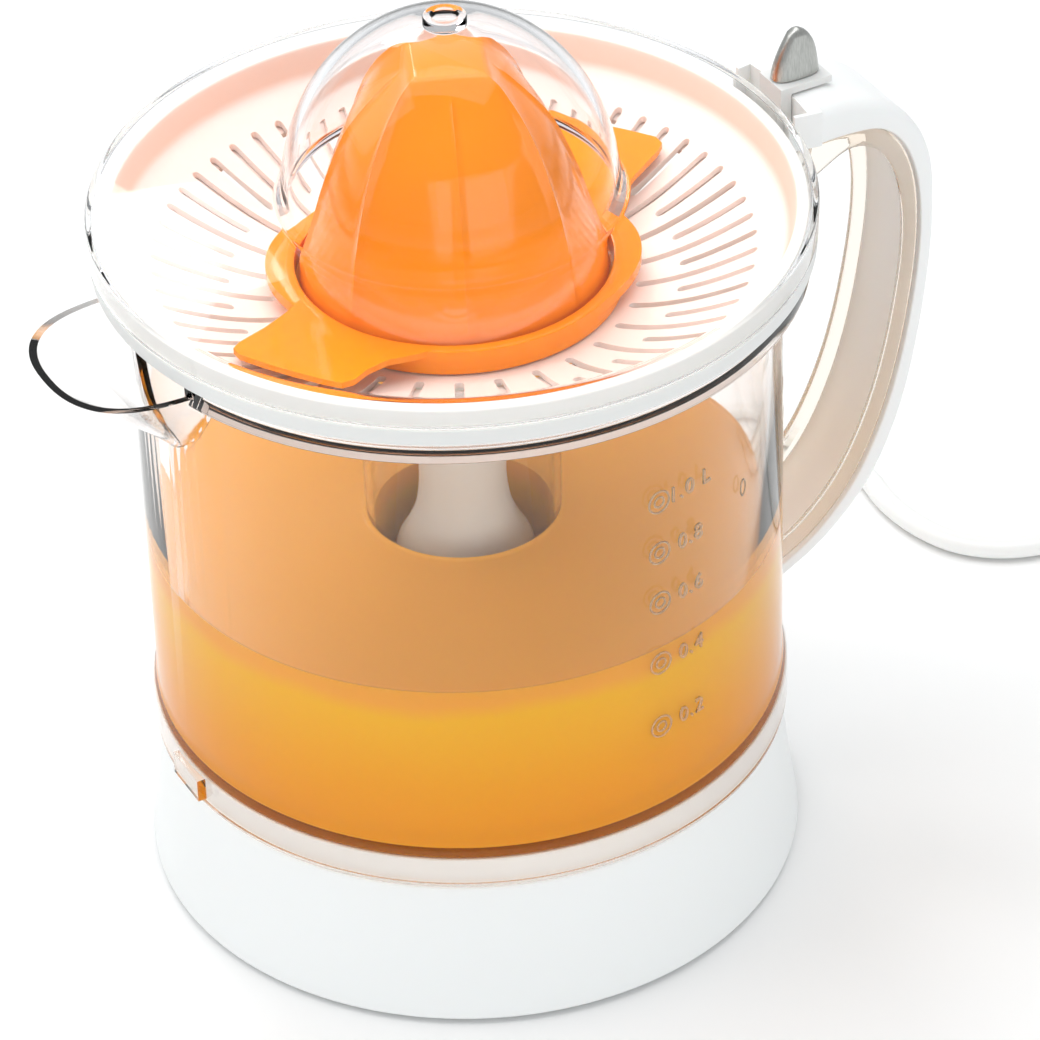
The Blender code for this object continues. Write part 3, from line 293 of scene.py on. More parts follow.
# ---- Strain relief and plug ----
# The relief is moulded on the lead in soft white PVC with rings that let it bend. The two-pin plug is
# moulded in hard white PVC round nickel-plated brass pins.

def spin_profile(name, profile, steps=144, finish=None):
    """A turned piece from points of radius, height and edge radius in mm, closed or ended on the axis."""
    bm = bmesh.new()
    corners = [bm.verts.new((point[0] * MM, 0, point[1] * MM)) for point in profile]
    pairs = list(zip(corners, corners[1:]))
    if profile[0][0] > 0 or profile[-1][0] > 0:
        pairs.append((corners[-1], corners[0]))
    for a, b in pairs:
        bm.edges.new((a, b))
    for corner, point in zip(corners, profile):
        if len(point) > 2:
            bmesh.ops.bevel(
                bm, geom=[corner], offset=point[2] * MM, offset_type="OFFSET", segments=4,
                profile=0.5, affect="VERTICES", material=-1, clamp_overlap=True,
            )
    bmesh.ops.spin(
        bm, geom=[*bm.verts, *bm.edges], cent=(0, 0, 0), axis=(0, 0, 1), dvec=(0, 0, 0), angle=math.tau,
        steps=steps, use_merge=True, use_duplicate=False,
    )
    bmesh.ops.remove_doubles(bm, verts=bm.verts, dist=1e-6)
    bmesh.ops.recalc_face_normals(bm, faces=bm.faces)
    if finish:
        bmesh.ops.transform(bm, matrix=finish, verts=bm.verts)
    return mesh_from(bm, name)


exit_turn = Matrix.Rotation(math.radians(62), 4, "Z") @ Matrix.Translation((0, 0, EXIT[2]))
exit_turn = exit_turn @ Matrix.Rotation(math.radians(90), 4, "Y")
relief_profile = [(0, 64), (5, 64), (5, 75.5, 0.3), (4.9, 76.4)]
for i in range(5):
    start = 76.4 + 2.6 * i
    width = 4.9 - 0.28 * i
    relief_profile += [(width - 0.75, start + 0.2), (width - 0.8, start + 0.9), (width, start + 1.1, 0.25),
                       (width - 0.1, start + 2.5, 0.25)]
relief_profile += [(3.4, 89.6, 0.4), (3.3, 90.2, 0.3), (0, 90.2)]
relief = place_piece(
    "strain_relief", spin_profile("strain_relief", relief_profile, 48, finish=exit_turn), cord_pvc, "base",
    ["cord_gland"],
)

plug_turn = Matrix.Translation([value * MM for value in tail[-1]]) @ Matrix.Rotation(math.radians(90), 4, "Z")
plug_bm = bmesh.new()
plug_cage = [(0.3, 3.4, 3.4), (6, 4.8, 4.8), (12, 10.5, 6.2), (18, 12.8, 6.8), (34, 12.8, 6.8)]
loops = []
for along, half_y, half_z in plug_cage:
    loop = [plug_bm.verts.new((along * MM, a * half_y * MM, b * half_z * MM))
            for a, b in ((-1, -1), (1, -1), (1, 1), (-1, 1))]
    loops.append([plug_bm.edges.new((loop[i], loop[(i + 1) % 4])) for i in range(4)])
for a, b in zip(loops, loops[1:]):
    bmesh.ops.bridge_loops(plug_bm, edges=[*a, *b])
bmesh.ops.holes_fill(plug_bm, edges=[*loops[0], *loops[-1]], sides=4)
bmesh.ops.recalc_face_normals(plug_bm, faces=plug_bm.faces)
bmesh.ops.transform(plug_bm, matrix=plug_turn, verts=plug_bm.verts)
plug_mesh = mesh_from(plug_bm, "moulded_plug")
plug = place_piece("moulded_plug", plug_mesh, cord_pvc, "base", ["mains_plug"], 2.2, 25, 4)

nickel, tree, shader = principled("nickel_plate", "#C9C6BE", 0.22, Metallic=1.0)
grain(tree, shader, 0.8, 0.05, (0.18, 0.3))
for i, side in enumerate((-1, 1)):
    turn = plug_turn @ Matrix.Translation((0, side * 9.3 * MM, 0)) @ Matrix.Rotation(math.radians(90), 4, "Y")
    pin_profile = [(0, 34.3), (2, 34.3), (2, 53.3, 1.2), (0, 53.3)]
    pin = spin_profile(f"pin_{i + 1}", pin_profile, 32, finish=turn)
    place_piece(f"nickel_pin_{i + 1}", pin, nickel, "base", [f"plug_pin_{i + 1}"])


# ---- Motor base ----
# One thick moulding in white ABS: a wall that flares to the table, a ledge and a raised deck for the jug,
# and a tall tower that carries the drive up through the jug's column.

BASE_FOOT = 1.2
BASE_RISE = 35.3
BASE_WALL = 2.4


def base_radius(z):
    """The outer wall in mm, which widens towards the table."""
    return 70.2 + 3.8 * (1 - (z - BASE_FOOT) / BASE_RISE) ** 1.7


white_abs, tree, shader = principled("moulded_white_abs", "#F7F8F7", 0.34, IOR=1.5, Subsurface_Weight=0.04)
grain(tree, shader, 1.6, 0.035, (0.3, 0.4))
outer_heights = [BASE_FOOT + BASE_RISE * i / 12 for i in range(13)]
outer_wall = [(base_radius(z), z) for z in outer_heights]
outer_wall[0] = (*outer_wall[0], 1.0)
outer_wall[-1] = (*outer_wall[-1], 1.2)
inner_heights = [BASE_FOOT + 32.9 * i / 6 for i in range(7)]
inner_wall = [(base_radius(z) - BASE_WALL, z) for z in inner_heights]
tower = [
    (18.2, 42.8, 2.0), (16.8, 58), (15.2, 79, 1.8), (13, 82.5, 2.0), (10.4, 88.5, 3), (9.5, 96, 2),
    (9.5, 138, 1.0),
]
tower_inside = [(7.6, 138, 0.3), (7.6, 96), (8.4, 88), (11.2, 81), (13.2, 77.4), (16.3, 40.4)]
housing = [*outer_wall, (67.7, 36.5), (67.6, 42.8, 0.8), *tower, *tower_inside, (65.2, 40.4), (65.2, 34.1),
           *reversed(inner_wall)]
base_mesh = spin_profile("motor_base", housing, 160)
place_piece("motor_base", base_mesh, white_abs, "base", ["motor_housing"])


# ---- Base plate, feet, screws and drive ----
# The underside is a pressed-in ABS plate with four rubber feet and steel screws. Inside are a small
# copper-wound motor, nylon gears on a plate, a steel spindle and the switch that it presses.

def finish_node(node, material):
    """A CAD node keeps its shape and takes a finer finish."""
    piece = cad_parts[node]
    for i in range(len(piece.material_slots)):
        piece.material_slots[i].material = material


rubber, tree, shader = principled("grey_rubber", "#8A8A88", 0.8)
grain(tree, shader, 0.7, 0.25)
steel, tree, shader = principled("turned_steel", "#A9ABAD", 0.3, Metallic=1.0)
grain(tree, shader, 0.5, 0.1, (0.24, 0.42), (1, 1, 0.1))
nylon, tree, shader = principled("natural_nylon", "#EDE9DC", 0.45, Subsurface_Weight=0.1)
grain(tree, shader, 1.0, 0.06, (0.38, 0.52))
black, tree, shader = principled("black_moulding", "#26272A", 0.45)
grain(tree, shader, 0.9, 0.12, (0.38, 0.55))
brass, tree, shader = principled("turned_brass", "#C9A45C", 0.3, Metallic=1.0)
grain(tree, shader, 0.5, 0.08, (0.24, 0.4))
copper, tree, shader = principled("enamelled_copper", "#B96A3D", 0.35, Metallic=1.0)
wire_place = texture_place(tree)
wire = add_node(
    tree, "ShaderNodeTexWave", {"bands_direction": "Z", "Scale": 1 / (0.6 * MM) / 6.28, "Distortion": 0.3},
    Vector=wire_place.outputs["Vector"],
)
wire_bump = add_node(
    tree, "ShaderNodeBump", {"Strength": 0.6, "Distance": 0.0002}, Height=wire.outputs["Fac"],
)
tree.links.new(wire_bump.outputs["Normal"], shader.inputs["Normal"])

finishes = {
    "base_plate": white_abs, "motor_can": steel, "motor_cap": black, "motor_coil": copper,
    "motor_rotor": steel, "motor_pinion": brass, "gear_plate": steel, "gear_axle": steel,
    "compound_gear": nylon, "output_gear": nylon,
    "drive_spindle": steel, "return_spring": steel, "start_switch": black, "switch_plunger": brass,
    "tower_bush": brass,
}
finishes.update({f"foot_{i}": rubber for i in range(1, 5)})
finishes.update({f"screw_{i}": steel for i in range(1, 5)})
for node, material in finishes.items():
    finish_node(node, material)


# ---- Jug ----
# Injection-moulded clear SAN with a thin amber cast where it is seen edge on. A skirt drops over the deck,
# a hollow column rises round the drive tower, and the spout is drawn out of the rim.

def clear_plastic(name, tint, depth, roughness=0.03, colour="#FFFFFF", index=1.33):
    """A clear moulding whose colour deepens with the length of plastic that light crosses, in mm."""
    material, tree, shader = principled(name, colour, roughness, IOR=index, Transmission_Weight=1.0)
    ray = add_node(tree, "ShaderNodeLightPath")
    through = add_node(tree, "ShaderNodeBsdfTransparent", {"Color": linear("#FAF6F0")})
    mix = add_node(tree, "ShaderNodeMixShader")
    tree.links.new(ray.outputs["Is Shadow Ray"], mix.inputs[0])
    tree.links.new(shader.outputs["BSDF"], mix.inputs[1])
    tree.links.new(through.outputs["BSDF"], mix.inputs[2])
    out = tree.nodes["Material Output"]
    tree.links.new(mix.outputs["Shader"], out.inputs["Surface"])
    tinted = add_node(
        tree, "ShaderNodeVolumeAbsorption", {"Color": linear(tint), "Density": 1 / (depth * MM)},
    )
    tree.links.new(tinted.outputs["Volume"], out.inputs["Volume"])
    return material, tree, shader


LIP_HEIGHT = 153.8
SPOUT_FOOT = 128


def spout_loops(inset, foot, levels):
    """U-shaped rings in mm from the spout's foot to its lip, wider and further out as it rises."""
    loops = []
    for share in levels:
        z = foot + (LIP_HEIGHT - foot) * share
        rise = max(0, (z - SPOUT_FOOT) / 25.8)
        reach = 69 + 26.5 * rise ** 1.25 - inset
        half = 3 + 19 * rise ** 0.6 - inset
        loop = []
        for i in range(41):
            angle = math.pi * (i / 40 - 0.5)
            x = 62 + (reach - 62) * max(0, math.cos(angle)) ** 0.5
            y = half * math.copysign(abs(math.sin(angle)) ** 0.85, math.sin(angle))
            loop.append((-x, -y, z))
        loops.append(loop)
    return loops


def loft(name, loops):
    """A closed mesh through closed loops of points in mm, with capped ends."""
    bm = bmesh.new()
    rings = []
    for loop in loops:
        verts = [bm.verts.new([value * MM for value in point]) for point in loop]
        rings.append([bm.edges.new((verts[i], verts[(i + 1) % len(verts)])) for i in range(len(verts))])
    for a, b in zip(rings, rings[1:]):
        bmesh.ops.bridge_loops(bm, edges=[*a, *b])
    bmesh.ops.holes_fill(bm, edges=[*rings[0], *rings[-1]], sides=0)
    bmesh.ops.recalc_face_normals(bm, faces=bm.faces)
    return mesh_from(bm, name)


def combine(mesh, tools, name):
    """The mesh after a chain of Boolean steps, each a mesh and DIFFERENCE or UNION."""
    worker = bpy.data.objects.new("worker", mesh)
    scene.collection.objects.link(worker)
    helpers = []
    for tool_mesh, operation in tools:
        helper = bpy.data.objects.new("helper", tool_mesh)
        scene.collection.objects.link(helper)
        helpers.append(helper)
        step = worker.modifiers.new("step", "BOOLEAN")
        step.operation = operation
        step.solver = "EXACT"
        step.object = helper
    shape = worker.evaluated_get(bpy.context.evaluated_depsgraph_get())
    made = bpy.data.meshes.new_from_object(shape)
    made.name = name
    for thing in (worker, *helpers):
        bpy.data.objects.remove(thing, do_unlink=True)
    return made


def block(low, high):
    """A box between two corners in mm."""
    bm = bmesh.new()
    bmesh.ops.create_cube(bm, size=1)
    size = [b - a for a, b in zip(low, high)]
    middle = [(a + b) / 2 for a, b in zip(low, high)]
    bmesh.ops.scale(bm, vec=[value * MM for value in size], verts=bm.verts)
    bmesh.ops.translate(bm, vec=[value * MM for value in middle], verts=bm.verts)
    return mesh_from(bm, "block")


def wedge(inner, outer, half, low, high):
    """A sector of a ring either side of the +X axis, half its angle in degrees."""
    steps = 12
    angles = [math.radians(half * (2 * i / steps - 1)) for i in range(steps + 1)]
    ring = [(outer * math.cos(a), outer * math.sin(a)) for a in angles]
    ring += [(inner * math.cos(a), inner * math.sin(a)) for a in reversed(angles)]
    return loft("wedge", [[(x, y, z) for x, y in ring] for z in (low, high)])


jug_profile = [
    (71.6, 156.7, 0.5), (75.8, 156.7, 0.6), (75.8, 151.7, 0.7), (70, 150.1, 1.0), (70, 48.8, 1.5),
    (71.2, 45.8, 1.0), (71.2, 36.8, 0.5), (68.1, 36.8, 0.4), (68.1, 43.3, 0.6), (19.7, 43.3, 0.5),
    (19.7, 118, 2.5), (11.3, 129, 2.0), (11.3, 136, 0.4), (13.1, 136, 0.4), (13.1, 130.5, 3.0),
    (21.5, 119.5, 3.5), (21.5, 45.3, 1.0), (65, 45.3, 1.2), (68, 48.3, 1.2), (68, 150.7, 0.8),
    (71.6, 153.3, 0.8),
]
clear_jug, tree, shader = clear_plastic("clear_san", "#E9B680", 68, index=1.41)
levels = [0, 0.08, 0.16, 0.25, 0.35, 0.45, 0.55, 0.65, 0.75, 0.85, 0.93, 1]
trim = spin_profile("trim", [(67.9, 160), (67.9, 124), (50, 124), (50, 160)], 144)
mouth = spout_loops(1.6, 130.5, levels)
mouth.append([(x, y, 163) for x, y, _ in mouth[-1]])
jug_mesh = combine(spin_profile("jug_wall", jug_profile, 144), [
    (loft("spout", spout_loops(0, SPOUT_FOOT, levels)), "UNION"),
    (trim, "DIFFERENCE"),
    (loft("mouth", mouth), "DIFFERENCE"),
    (wedge(65, 79, 9.2, 150.7, 160), "DIFFERENCE"),
    (block((-72.6, -9, 39), (-69.2, 3, 44.5)), "UNION"),
], "jug_clear")
place_piece("jug_clear", jug_mesh, clear_jug, "jug_unit", ["jug"])


# ---- Juice ----
# Freshly pressed orange juice fills the jug to two fifths, round the column. It is cloudy, so light
# goes a little way in. Its colour is painted shade towards the bottom, deepest in a thin band at its foot,
# and painted light makes it paler towards its surface.

JUICE_TOP = 87.6
JUICE_LIP = 88.4
juice_body, tree, shader = principled(
    "fresh_orange_juice", "#FFB010", 0.2, IOR=1.35, Subsurface_Weight=0.2, Specular_IOR_Level=0.2,
)
shader.inputs["Subsurface Radius"].default_value = (1.0, 0.45, 0.1)
shader.inputs["Subsurface Scale"].default_value = 0.004
place = add_node(tree, "ShaderNodeTexCoord")
height = add_node(tree, "ShaderNodeSeparateXYZ", Vector=place.outputs["Object"])
depth = add_node(
    tree, "ShaderNodeMapRange", {"From Min": 45.3 * MM, "From Max": JUICE_TOP * MM},
    Value=height.outputs["Z"],
)
cloud = add_node(
    tree, "ShaderNodeTexNoise", {"Scale": 1 / (26 * MM), "Detail": 2}, Vector=place.outputs["Object"],
)
drift = add_node(tree, "ShaderNodeMath", {"operation": "MULTIPLY_ADD"})
tree.links.new(cloud.outputs["Fac"], drift.inputs[0])
drift.inputs[1].default_value = 0.12
tree.links.new(depth.outputs["Result"], drift.inputs[2])
# Painted shade and light: this ramp darkens the juice towards its foot and pales it towards its top.
painted_light_ramp = add_node(tree, "ShaderNodeValToRGB")
tree.links.new(drift.outputs[0], painted_light_ramp.inputs["Fac"])
stops = painted_light_ramp.color_ramp.elements
stops[0].color = linear("#F08A00")
stops[1].color = linear("#FFB440")
for position, colour in ((0.06, "#FFA500"), (0.45, "#FFB400"), (0.9, "#FFC61C")):
    stops.new(position).color = linear(colour)
tree.links.new(painted_light_ramp.outputs["Color"], shader.inputs["Base Color"])
juice_profile = [
    (68.2, 45.1, 1.4), (68.2, JUICE_LIP, 0.4), (67.4, JUICE_TOP, 0.6), (22.1, JUICE_TOP, 0.6),
    (21.3, JUICE_LIP, 0.4), (21.3, 45.1),
]
juice_mesh = spin_profile("orange_juice", juice_profile, 128)
place_piece("orange_juice", juice_mesh, juice_body, "jug_unit")


# ---- Measuring marks ----
# The litre marks are raised a third of a millimetre in the mould, each with a small round sign beside it.

MARKS_ANGLE = -75
SIGNS_ANGLE = -82
raised_clear, tree, shader = principled(
    "raised_clear_marks", "#F6E3C8", 0.2, IOR=1.49, Transmission_Weight=0.8,
)
grain(tree, shader, 0.8, 0.1)


def wrap_on_wall(mesh, angle, height, radius=70.0):
    """Bends a flat mesh, drawn in XY in mm, round the jug's wall at an angle in degrees."""
    for vertex in mesh.vertices:
        x, y, z = vertex.co
        turn = math.radians(angle) + x / radius
        out = (radius + z) * MM
        vertex.co = (out * math.cos(turn), out * math.sin(turn), (height + y) * MM)


def text_mesh(words, size, thickness):
    font = bpy.data.curves.new("mark", "FONT")
    font.body = words
    font.size = size
    font.extrude = thickness
    font.align_x = "CENTER"
    font.align_y = "CENTER"
    font.space_character = 1.15
    font.resolution_u = 3
    worker = bpy.data.objects.new("worker", font)
    scene.collection.objects.link(worker)
    bpy.context.view_layer.update()
    shape = worker.evaluated_get(bpy.context.evaluated_depsgraph_get())
    made = bpy.data.meshes.new_from_object(shape)
    bpy.data.objects.remove(worker, do_unlink=True)
    return made


def ring_mesh(radius, wire):
    bm = bmesh.new()
    made = bmesh.ops.create_circle(bm, cap_ends=False, radius=wire, segments=8)
    bmesh.ops.rotate(bm, matrix=Matrix.Rotation(math.radians(90), 3, "X"), verts=made["verts"])
    bmesh.ops.translate(bm, vec=(radius, 0, 0), verts=made["verts"])
    bmesh.ops.spin(
        bm, geom=[*bm.verts, *bm.edges], cent=(0, 0, 0), axis=(0, 0, 1), dvec=(0, 0, 0), angle=math.tau,
        steps=28, use_merge=True, use_duplicate=False,
    )
    bmesh.ops.recalc_face_normals(bm, faces=bm.faces)
    return mesh_from(bm, "ring")


def join_meshes(name, meshes):
    bm = bmesh.new()
    for mesh in meshes:
        bm.from_mesh(mesh)
    bmesh.ops.remove_doubles(bm, verts=bm.verts, dist=1e-6)
    return mesh_from(bm, name)


marks = []
for words, z in (("1.0 L", 127), ("0.8", 114), ("0.6", 101), ("0.4", 85), ("0.2", 68)):
    words_mesh = text_mesh(words, 5.4, 0.3)
    wrap_on_wall(words_mesh, MARKS_ANGLE, z)
    marks.append(words_mesh)
    for radius in (2.6, 1.2):
        sign = ring_mesh(radius, 0.25)
        wrap_on_wall(sign, SIGNS_ANGLE, z)
        marks.append(sign)
drop = ring_mesh(1.3, 0.22)
for vertex in drop.vertices:
    vertex.co.x *= 0.75
    vertex.co.y *= 1.5
wrap_on_wall(drop, -60, 116)
marks.append(drop)
place_piece("litre_marks", join_meshes("litre_marks", marks), raised_clear, "jug_unit")


# ---- Handle ----
# A clear hollow grip moulded with the jug, and a white ABS cover clipped over its back. The cover's top
# has a slot for the pulp selector's arm.

BACK = [
    (81.3, 168), (90, 167.8), (99.5, 164.6), (107.6, 157.6), (112.6, 148.5), (114.3, 138), (113.6, 120),
    (110.6, 98), (106, 79), (98.6, 63.5), (86.6, 51.6), (71.6, 43),
]
SEAM = [
    (81.3, 158.8), (91.4, 159), (99.4, 157.6), (105, 152.4), (108.6, 143.5), (110, 132), (109.3, 117),
    (106, 97), (101, 80), (93.4, 65), (83, 54), (71.6, 47.4),
]
FINGER_SIDE = [
    (71, 146.5), (81, 149.4), (91, 154.4), (97.6, 153), (102, 148), (104.6, 141), (105.9, 131), (105.1, 117),
    (101.7, 98), (96.7, 82), (89.6, 68.4), (80.4, 58.6), (71.6, 53.4),
]


def flat_line(points, steps):
    """A smooth line in XZ through the points, as pairs."""
    return [(p.x, p.y) for p in smooth_line([(x, z, 0) for x, z in points], steps)]


def cover_section(back, seam, half):
    """A rounded section across the handle: its back edges are soft, and its seam edges crisp."""
    outward = Vector((back[0] - seam[0], back[1] - seam[1]))
    thick = outward.length
    outward.normalize()
    soft = min(4.2, 0.55 * thick)
    crisp = min(0.5, 0.2 * thick)
    corners = [
        (0, -half, crisp, 180), (0, half, crisp, 90), (thick, half, soft, 0), (thick, -half, soft, 270),
    ]
    loop = []
    for u, y, radius, start in corners:
        centre_u = u + (radius if u == 0 else -radius)
        centre_y = y + (radius if y < 0 else -radius)
        for i in range(7):
            angle = math.radians(start + 90 - 15 * i)
            loop.append((centre_u + radius * math.cos(angle), centre_y + radius * math.sin(angle)))
    return [(seam[0] + outward.x * u, y, seam[1] + outward.y * u) for u, y in loop]


back_line, seam_line = flat_line(BACK, 5), flat_line(SEAM, 5)
cover_loops = [cover_section(b, s, 12) for b, s in zip(back_line, seam_line)]
handle_mesh = combine(loft("handle_cover", cover_loops), [
    (wedge(77.9, 84.3, 9.1, 159.4, 167.9), "UNION"),
    (wedge(75.3, 81.1, 8.4, 149.7, 175.2), "DIFFERENCE"),
], "handle_white")
place_piece("handle_white", handle_mesh, white_abs, "jug_unit", ["handle_cover"], 0.5, 50, 2)


def side_prism(name, outline, half, inset=0.0):
    """A prism across the handle from an outline in XZ in mm, drawn in from its edge where it is a cavity."""
    bm = bmesh.new()
    verts = [bm.verts.new((x * MM, -half * MM, z * MM)) for x, z in outline]
    face = bm.faces.new(verts)
    if inset:
        made = bmesh.ops.inset_region(bm, faces=[face], thickness=inset * MM, use_even_offset=True)
        bmesh.ops.delete(bm, geom=made["faces"], context="FACES")
        loose = [v for v in bm.verts if not v.link_faces]
        bmesh.ops.delete(bm, geom=loose, context="VERTS")
        face = bm.faces[:][0]
    made = bmesh.ops.extrude_face_region(bm, geom=[face])
    moved = [item for item in made["geom"] if isinstance(item, bmesh.types.BMVert)]
    bmesh.ops.translate(bm, vec=(0, 2 * half * MM, 0), verts=moved)
    bmesh.ops.recalc_face_normals(bm, faces=bm.faces)
    return mesh_from(bm, name)


# Partly a real warm tint and partly painted shade: the grip's off-white colour and beige tint stand in for
# the shaded inside of the white cover seen through the clear grip.
clear_grip, tree, shader = clear_plastic("clear_grip", "#E4C49C", 70, 0.05, "#FAF4EC")
grip_seam = flat_line([
    (81.3, 158.5), (91.3, 158.7), (99.2, 157.3), (104.7, 152.2), (108.3, 143.4), (109.7, 132), (109, 117.1),
    (105.7, 97.1), (100.7, 80.1), (93.2, 65.2), (82.8, 54.3), (71.6, 48),
], 5)
grip_outline = [(71, 149.7), (76.6, 150.7), (76.6, 153.7), (81.3, 153.7), *grip_seam,
                *reversed(flat_line(FINGER_SIDE, 5))]
grip_mesh = combine(side_prism("grip", grip_outline, 11.4), [
    (side_prism("grip_cavity", grip_outline, 9.4, 1.7), "DIFFERENCE"),
], "handle_clear")
place_piece("handle_clear", grip_mesh, clear_grip, "jug_unit", ["handle_grip"], 0.8, 50, 3)


# ---- Strainer ----
# A dished bowl in translucent blush ABS with sixty radial slots, a steep wall, and a band that sits on
# the jug's rim. A sleeve under its hub goes round the jug's neck.

SLOTS = 60


def bowl_z(radius):
    return 144.4 + 14 * max(0, (radius - 37) / 34) ** 1.6


def bowl_points(drop, radii):
    return [(radius, bowl_z(radius) - drop) for radius in radii]


strainer_profile = [
    (72.6, 164.9, 0.6), (75.2, 164.9, 0.6), (75.2, 161, 0.4), (77, 161, 0.6), (77, 157, 0.6), (71.4, 157),
    (67.6, bowl_z(67.6) - 1.9), (67.6, 148, 0.4), (66.2, 148, 0.4), (66.2, bowl_z(66.2) - 1.5),
    *bowl_points(1.5, (62, 57, 52, 47, 42, 37)), (15.5, 142.9, 0.5), (15.5, 131, 0.4), (13.9, 131, 0.4),
    (13.9, 142.9), (6, 142.9, 0.3), (6, 144.4, 0.3),
    *bowl_points(0, (37, 40, 43, 46, 49, 52, 55, 58, 61, 64, 67, 69)),
    (71, bowl_z(71), 1.4),
]


def stadium(inner, outer, degrees, width):
    """A slot's outline along a radius, with round ends, in mm."""
    half = width / 2
    points = [(inner + half - half * math.cos(a), half * math.sin(a))
              for a in (math.radians(-90 + 30 * i) for i in range(7))]
    points += [(outer - half + half * math.cos(a), half * math.sin(a))
               for a in (math.radians(90 - 30 * i) for i in range(7))]
    cos, sin = math.cos(math.radians(degrees)), math.sin(math.radians(degrees))
    return [(x * cos - y * sin, x * sin + y * cos) for x, y in points]


def prisms(name, outlines, low, high):
    """Upright prisms on outlines in mm, as one mesh."""
    bm = bmesh.new()
    for outline in outlines:
        face = bm.faces.new([bm.verts.new((x * MM, y * MM, low * MM)) for x, y in outline])
        made = bmesh.ops.extrude_face_region(bm, geom=[face])
        moved = [item for item in made["geom"] if isinstance(item, bmesh.types.BMVert)]
        bmesh.ops.translate(bm, vec=(0, 0, (high - low) * MM), verts=moved)
    bmesh.ops.recalc_face_normals(bm, faces=bm.faces)
    return mesh_from(bm, name)


slots = [stadium(48 if i % 2 else 38.5, 64.5, 360 / SLOTS * (i + 0.5), 2) for i in range(SLOTS)]
strainer_mesh = combine(spin_profile("bowl", strainer_profile, 144), [
    (prisms("slots", slots, 140, 164), "DIFFERENCE"),
    (wedge(65.8, 68.6, 9.2, 145, bowl_z(66.2) - 1.7), "DIFFERENCE"),
], "strainer_bowl")
blush_abs, tree, shader = principled("blush_abs", "#FBEFEA", 0.38, IOR=1.5, Subsurface_Weight=0.12)
shader.inputs["Subsurface Radius"].default_value = (1.0, 0.7, 0.6)
shader.inputs["Subsurface Scale"].default_value = 0.002
grain(tree, shader, 1.8, 0.03, (0.33, 0.45))
# Painted shade and light across the rim, by radius: a peach painted shade on the steep inner wall, a
# near-white lip top where light falls, and a grey painted shade on the outer band under the lid's skirt.
place = add_node(tree, "ShaderNodeTexCoord")
flat = add_node(tree, "ShaderNodeVectorMath", {"operation": "MULTIPLY"})
tree.links.new(place.outputs["Object"], flat.inputs[0])
flat.inputs[1].default_value = (1, 1, 0)
radius = add_node(tree, "ShaderNodeVectorMath", {"operation": "LENGTH"})
tree.links.new(flat.outputs["Vector"], radius.inputs[0])
across = add_node(
    tree, "ShaderNodeMapRange", {"From Min": 70 * MM, "From Max": 78 * MM}, Value=radius.outputs["Value"],
)
painted_shade_bands = add_node(tree, "ShaderNodeValToRGB", Fac=across.outputs["Result"])
stops = painted_shade_bands.color_ramp.elements
stops[0].position, stops[0].color = 0.05, linear("#FCEFEA")
stops[1].position, stops[1].color = 0.7, linear("#E6E7E5")
for position, colour in ((0.16, "#F5D9CB"), (0.28, "#F5DACD"), (0.36, "#F6F2EF")):
    stops.new(position).color = linear(colour)
tree.links.new(painted_shade_bands.outputs["Color"], shader.inputs["Base Color"])
place_piece("strainer_bowl", strainer_mesh, blush_abs, "strainer_unit", ["strainer"])
finish_node("pulp_selector", blush_abs)


# ---- Selector's lever ----
# A small die-cast fin with brushed plating, pressed on the selector's plinth over the handle.

brushed, tree, shader = principled("brushed_plating", "#B9BAB6", 0.3, Metallic=1.0, Anisotropic=0.4)
place = texture_place(tree, (1, 1, 0.06))
lines = add_node(
    tree, "ShaderNodeTexNoise", {"Scale": 1 / (0.25 * MM), "Detail": 2}, Vector=place.outputs["Vector"],
)
lines_bump = add_node(
    tree, "ShaderNodeBump", {"Strength": 0.15, "Distance": 0.0001}, Height=lines.outputs["Fac"],
)
tree.links.new(lines_bump.outputs["Normal"], shader.inputs["Normal"])
mottle(tree, shader, lines, "#9B9C98", "#D2D3CF")
fin_loops = []
for i in range(19):
    share = i / 18
    front = 78.6 + 4.9 * share ** 1.7
    back = 90.0 - 1.2 * share - 3.4 * share ** 4
    close = math.sqrt(max(0.03, 1 - ease(0.86, 1.0, share) ** 2))
    middle = (front + back) / 2
    half_long = (back - front) / 2 * close
    half_thick = (2.7 - 1.2 * share) * close
    loop = []
    for k in range(32):
        angle = math.tau * k / 32
        cos, sin = math.cos(angle), math.sin(angle)
        x = middle + half_long * math.copysign(abs(cos) ** 0.75, cos)
        loop.append((x, half_thick * math.copysign(abs(sin) ** 0.75, sin), 170.5 + 11.5 * share))
    fin_loops.append(loop)
fin_mesh = loft("selector_fin", fin_loops)
place_piece("selector_fin", fin_mesh, brushed, "selector", ["lever_fin"])


# ---- Dust cover ----
# A thin clear SAN lid: a flat ring with a short skirt that hooks over the strainer, and a tall dome over
# the cone with a small round boss where the plastic was let into the mould.

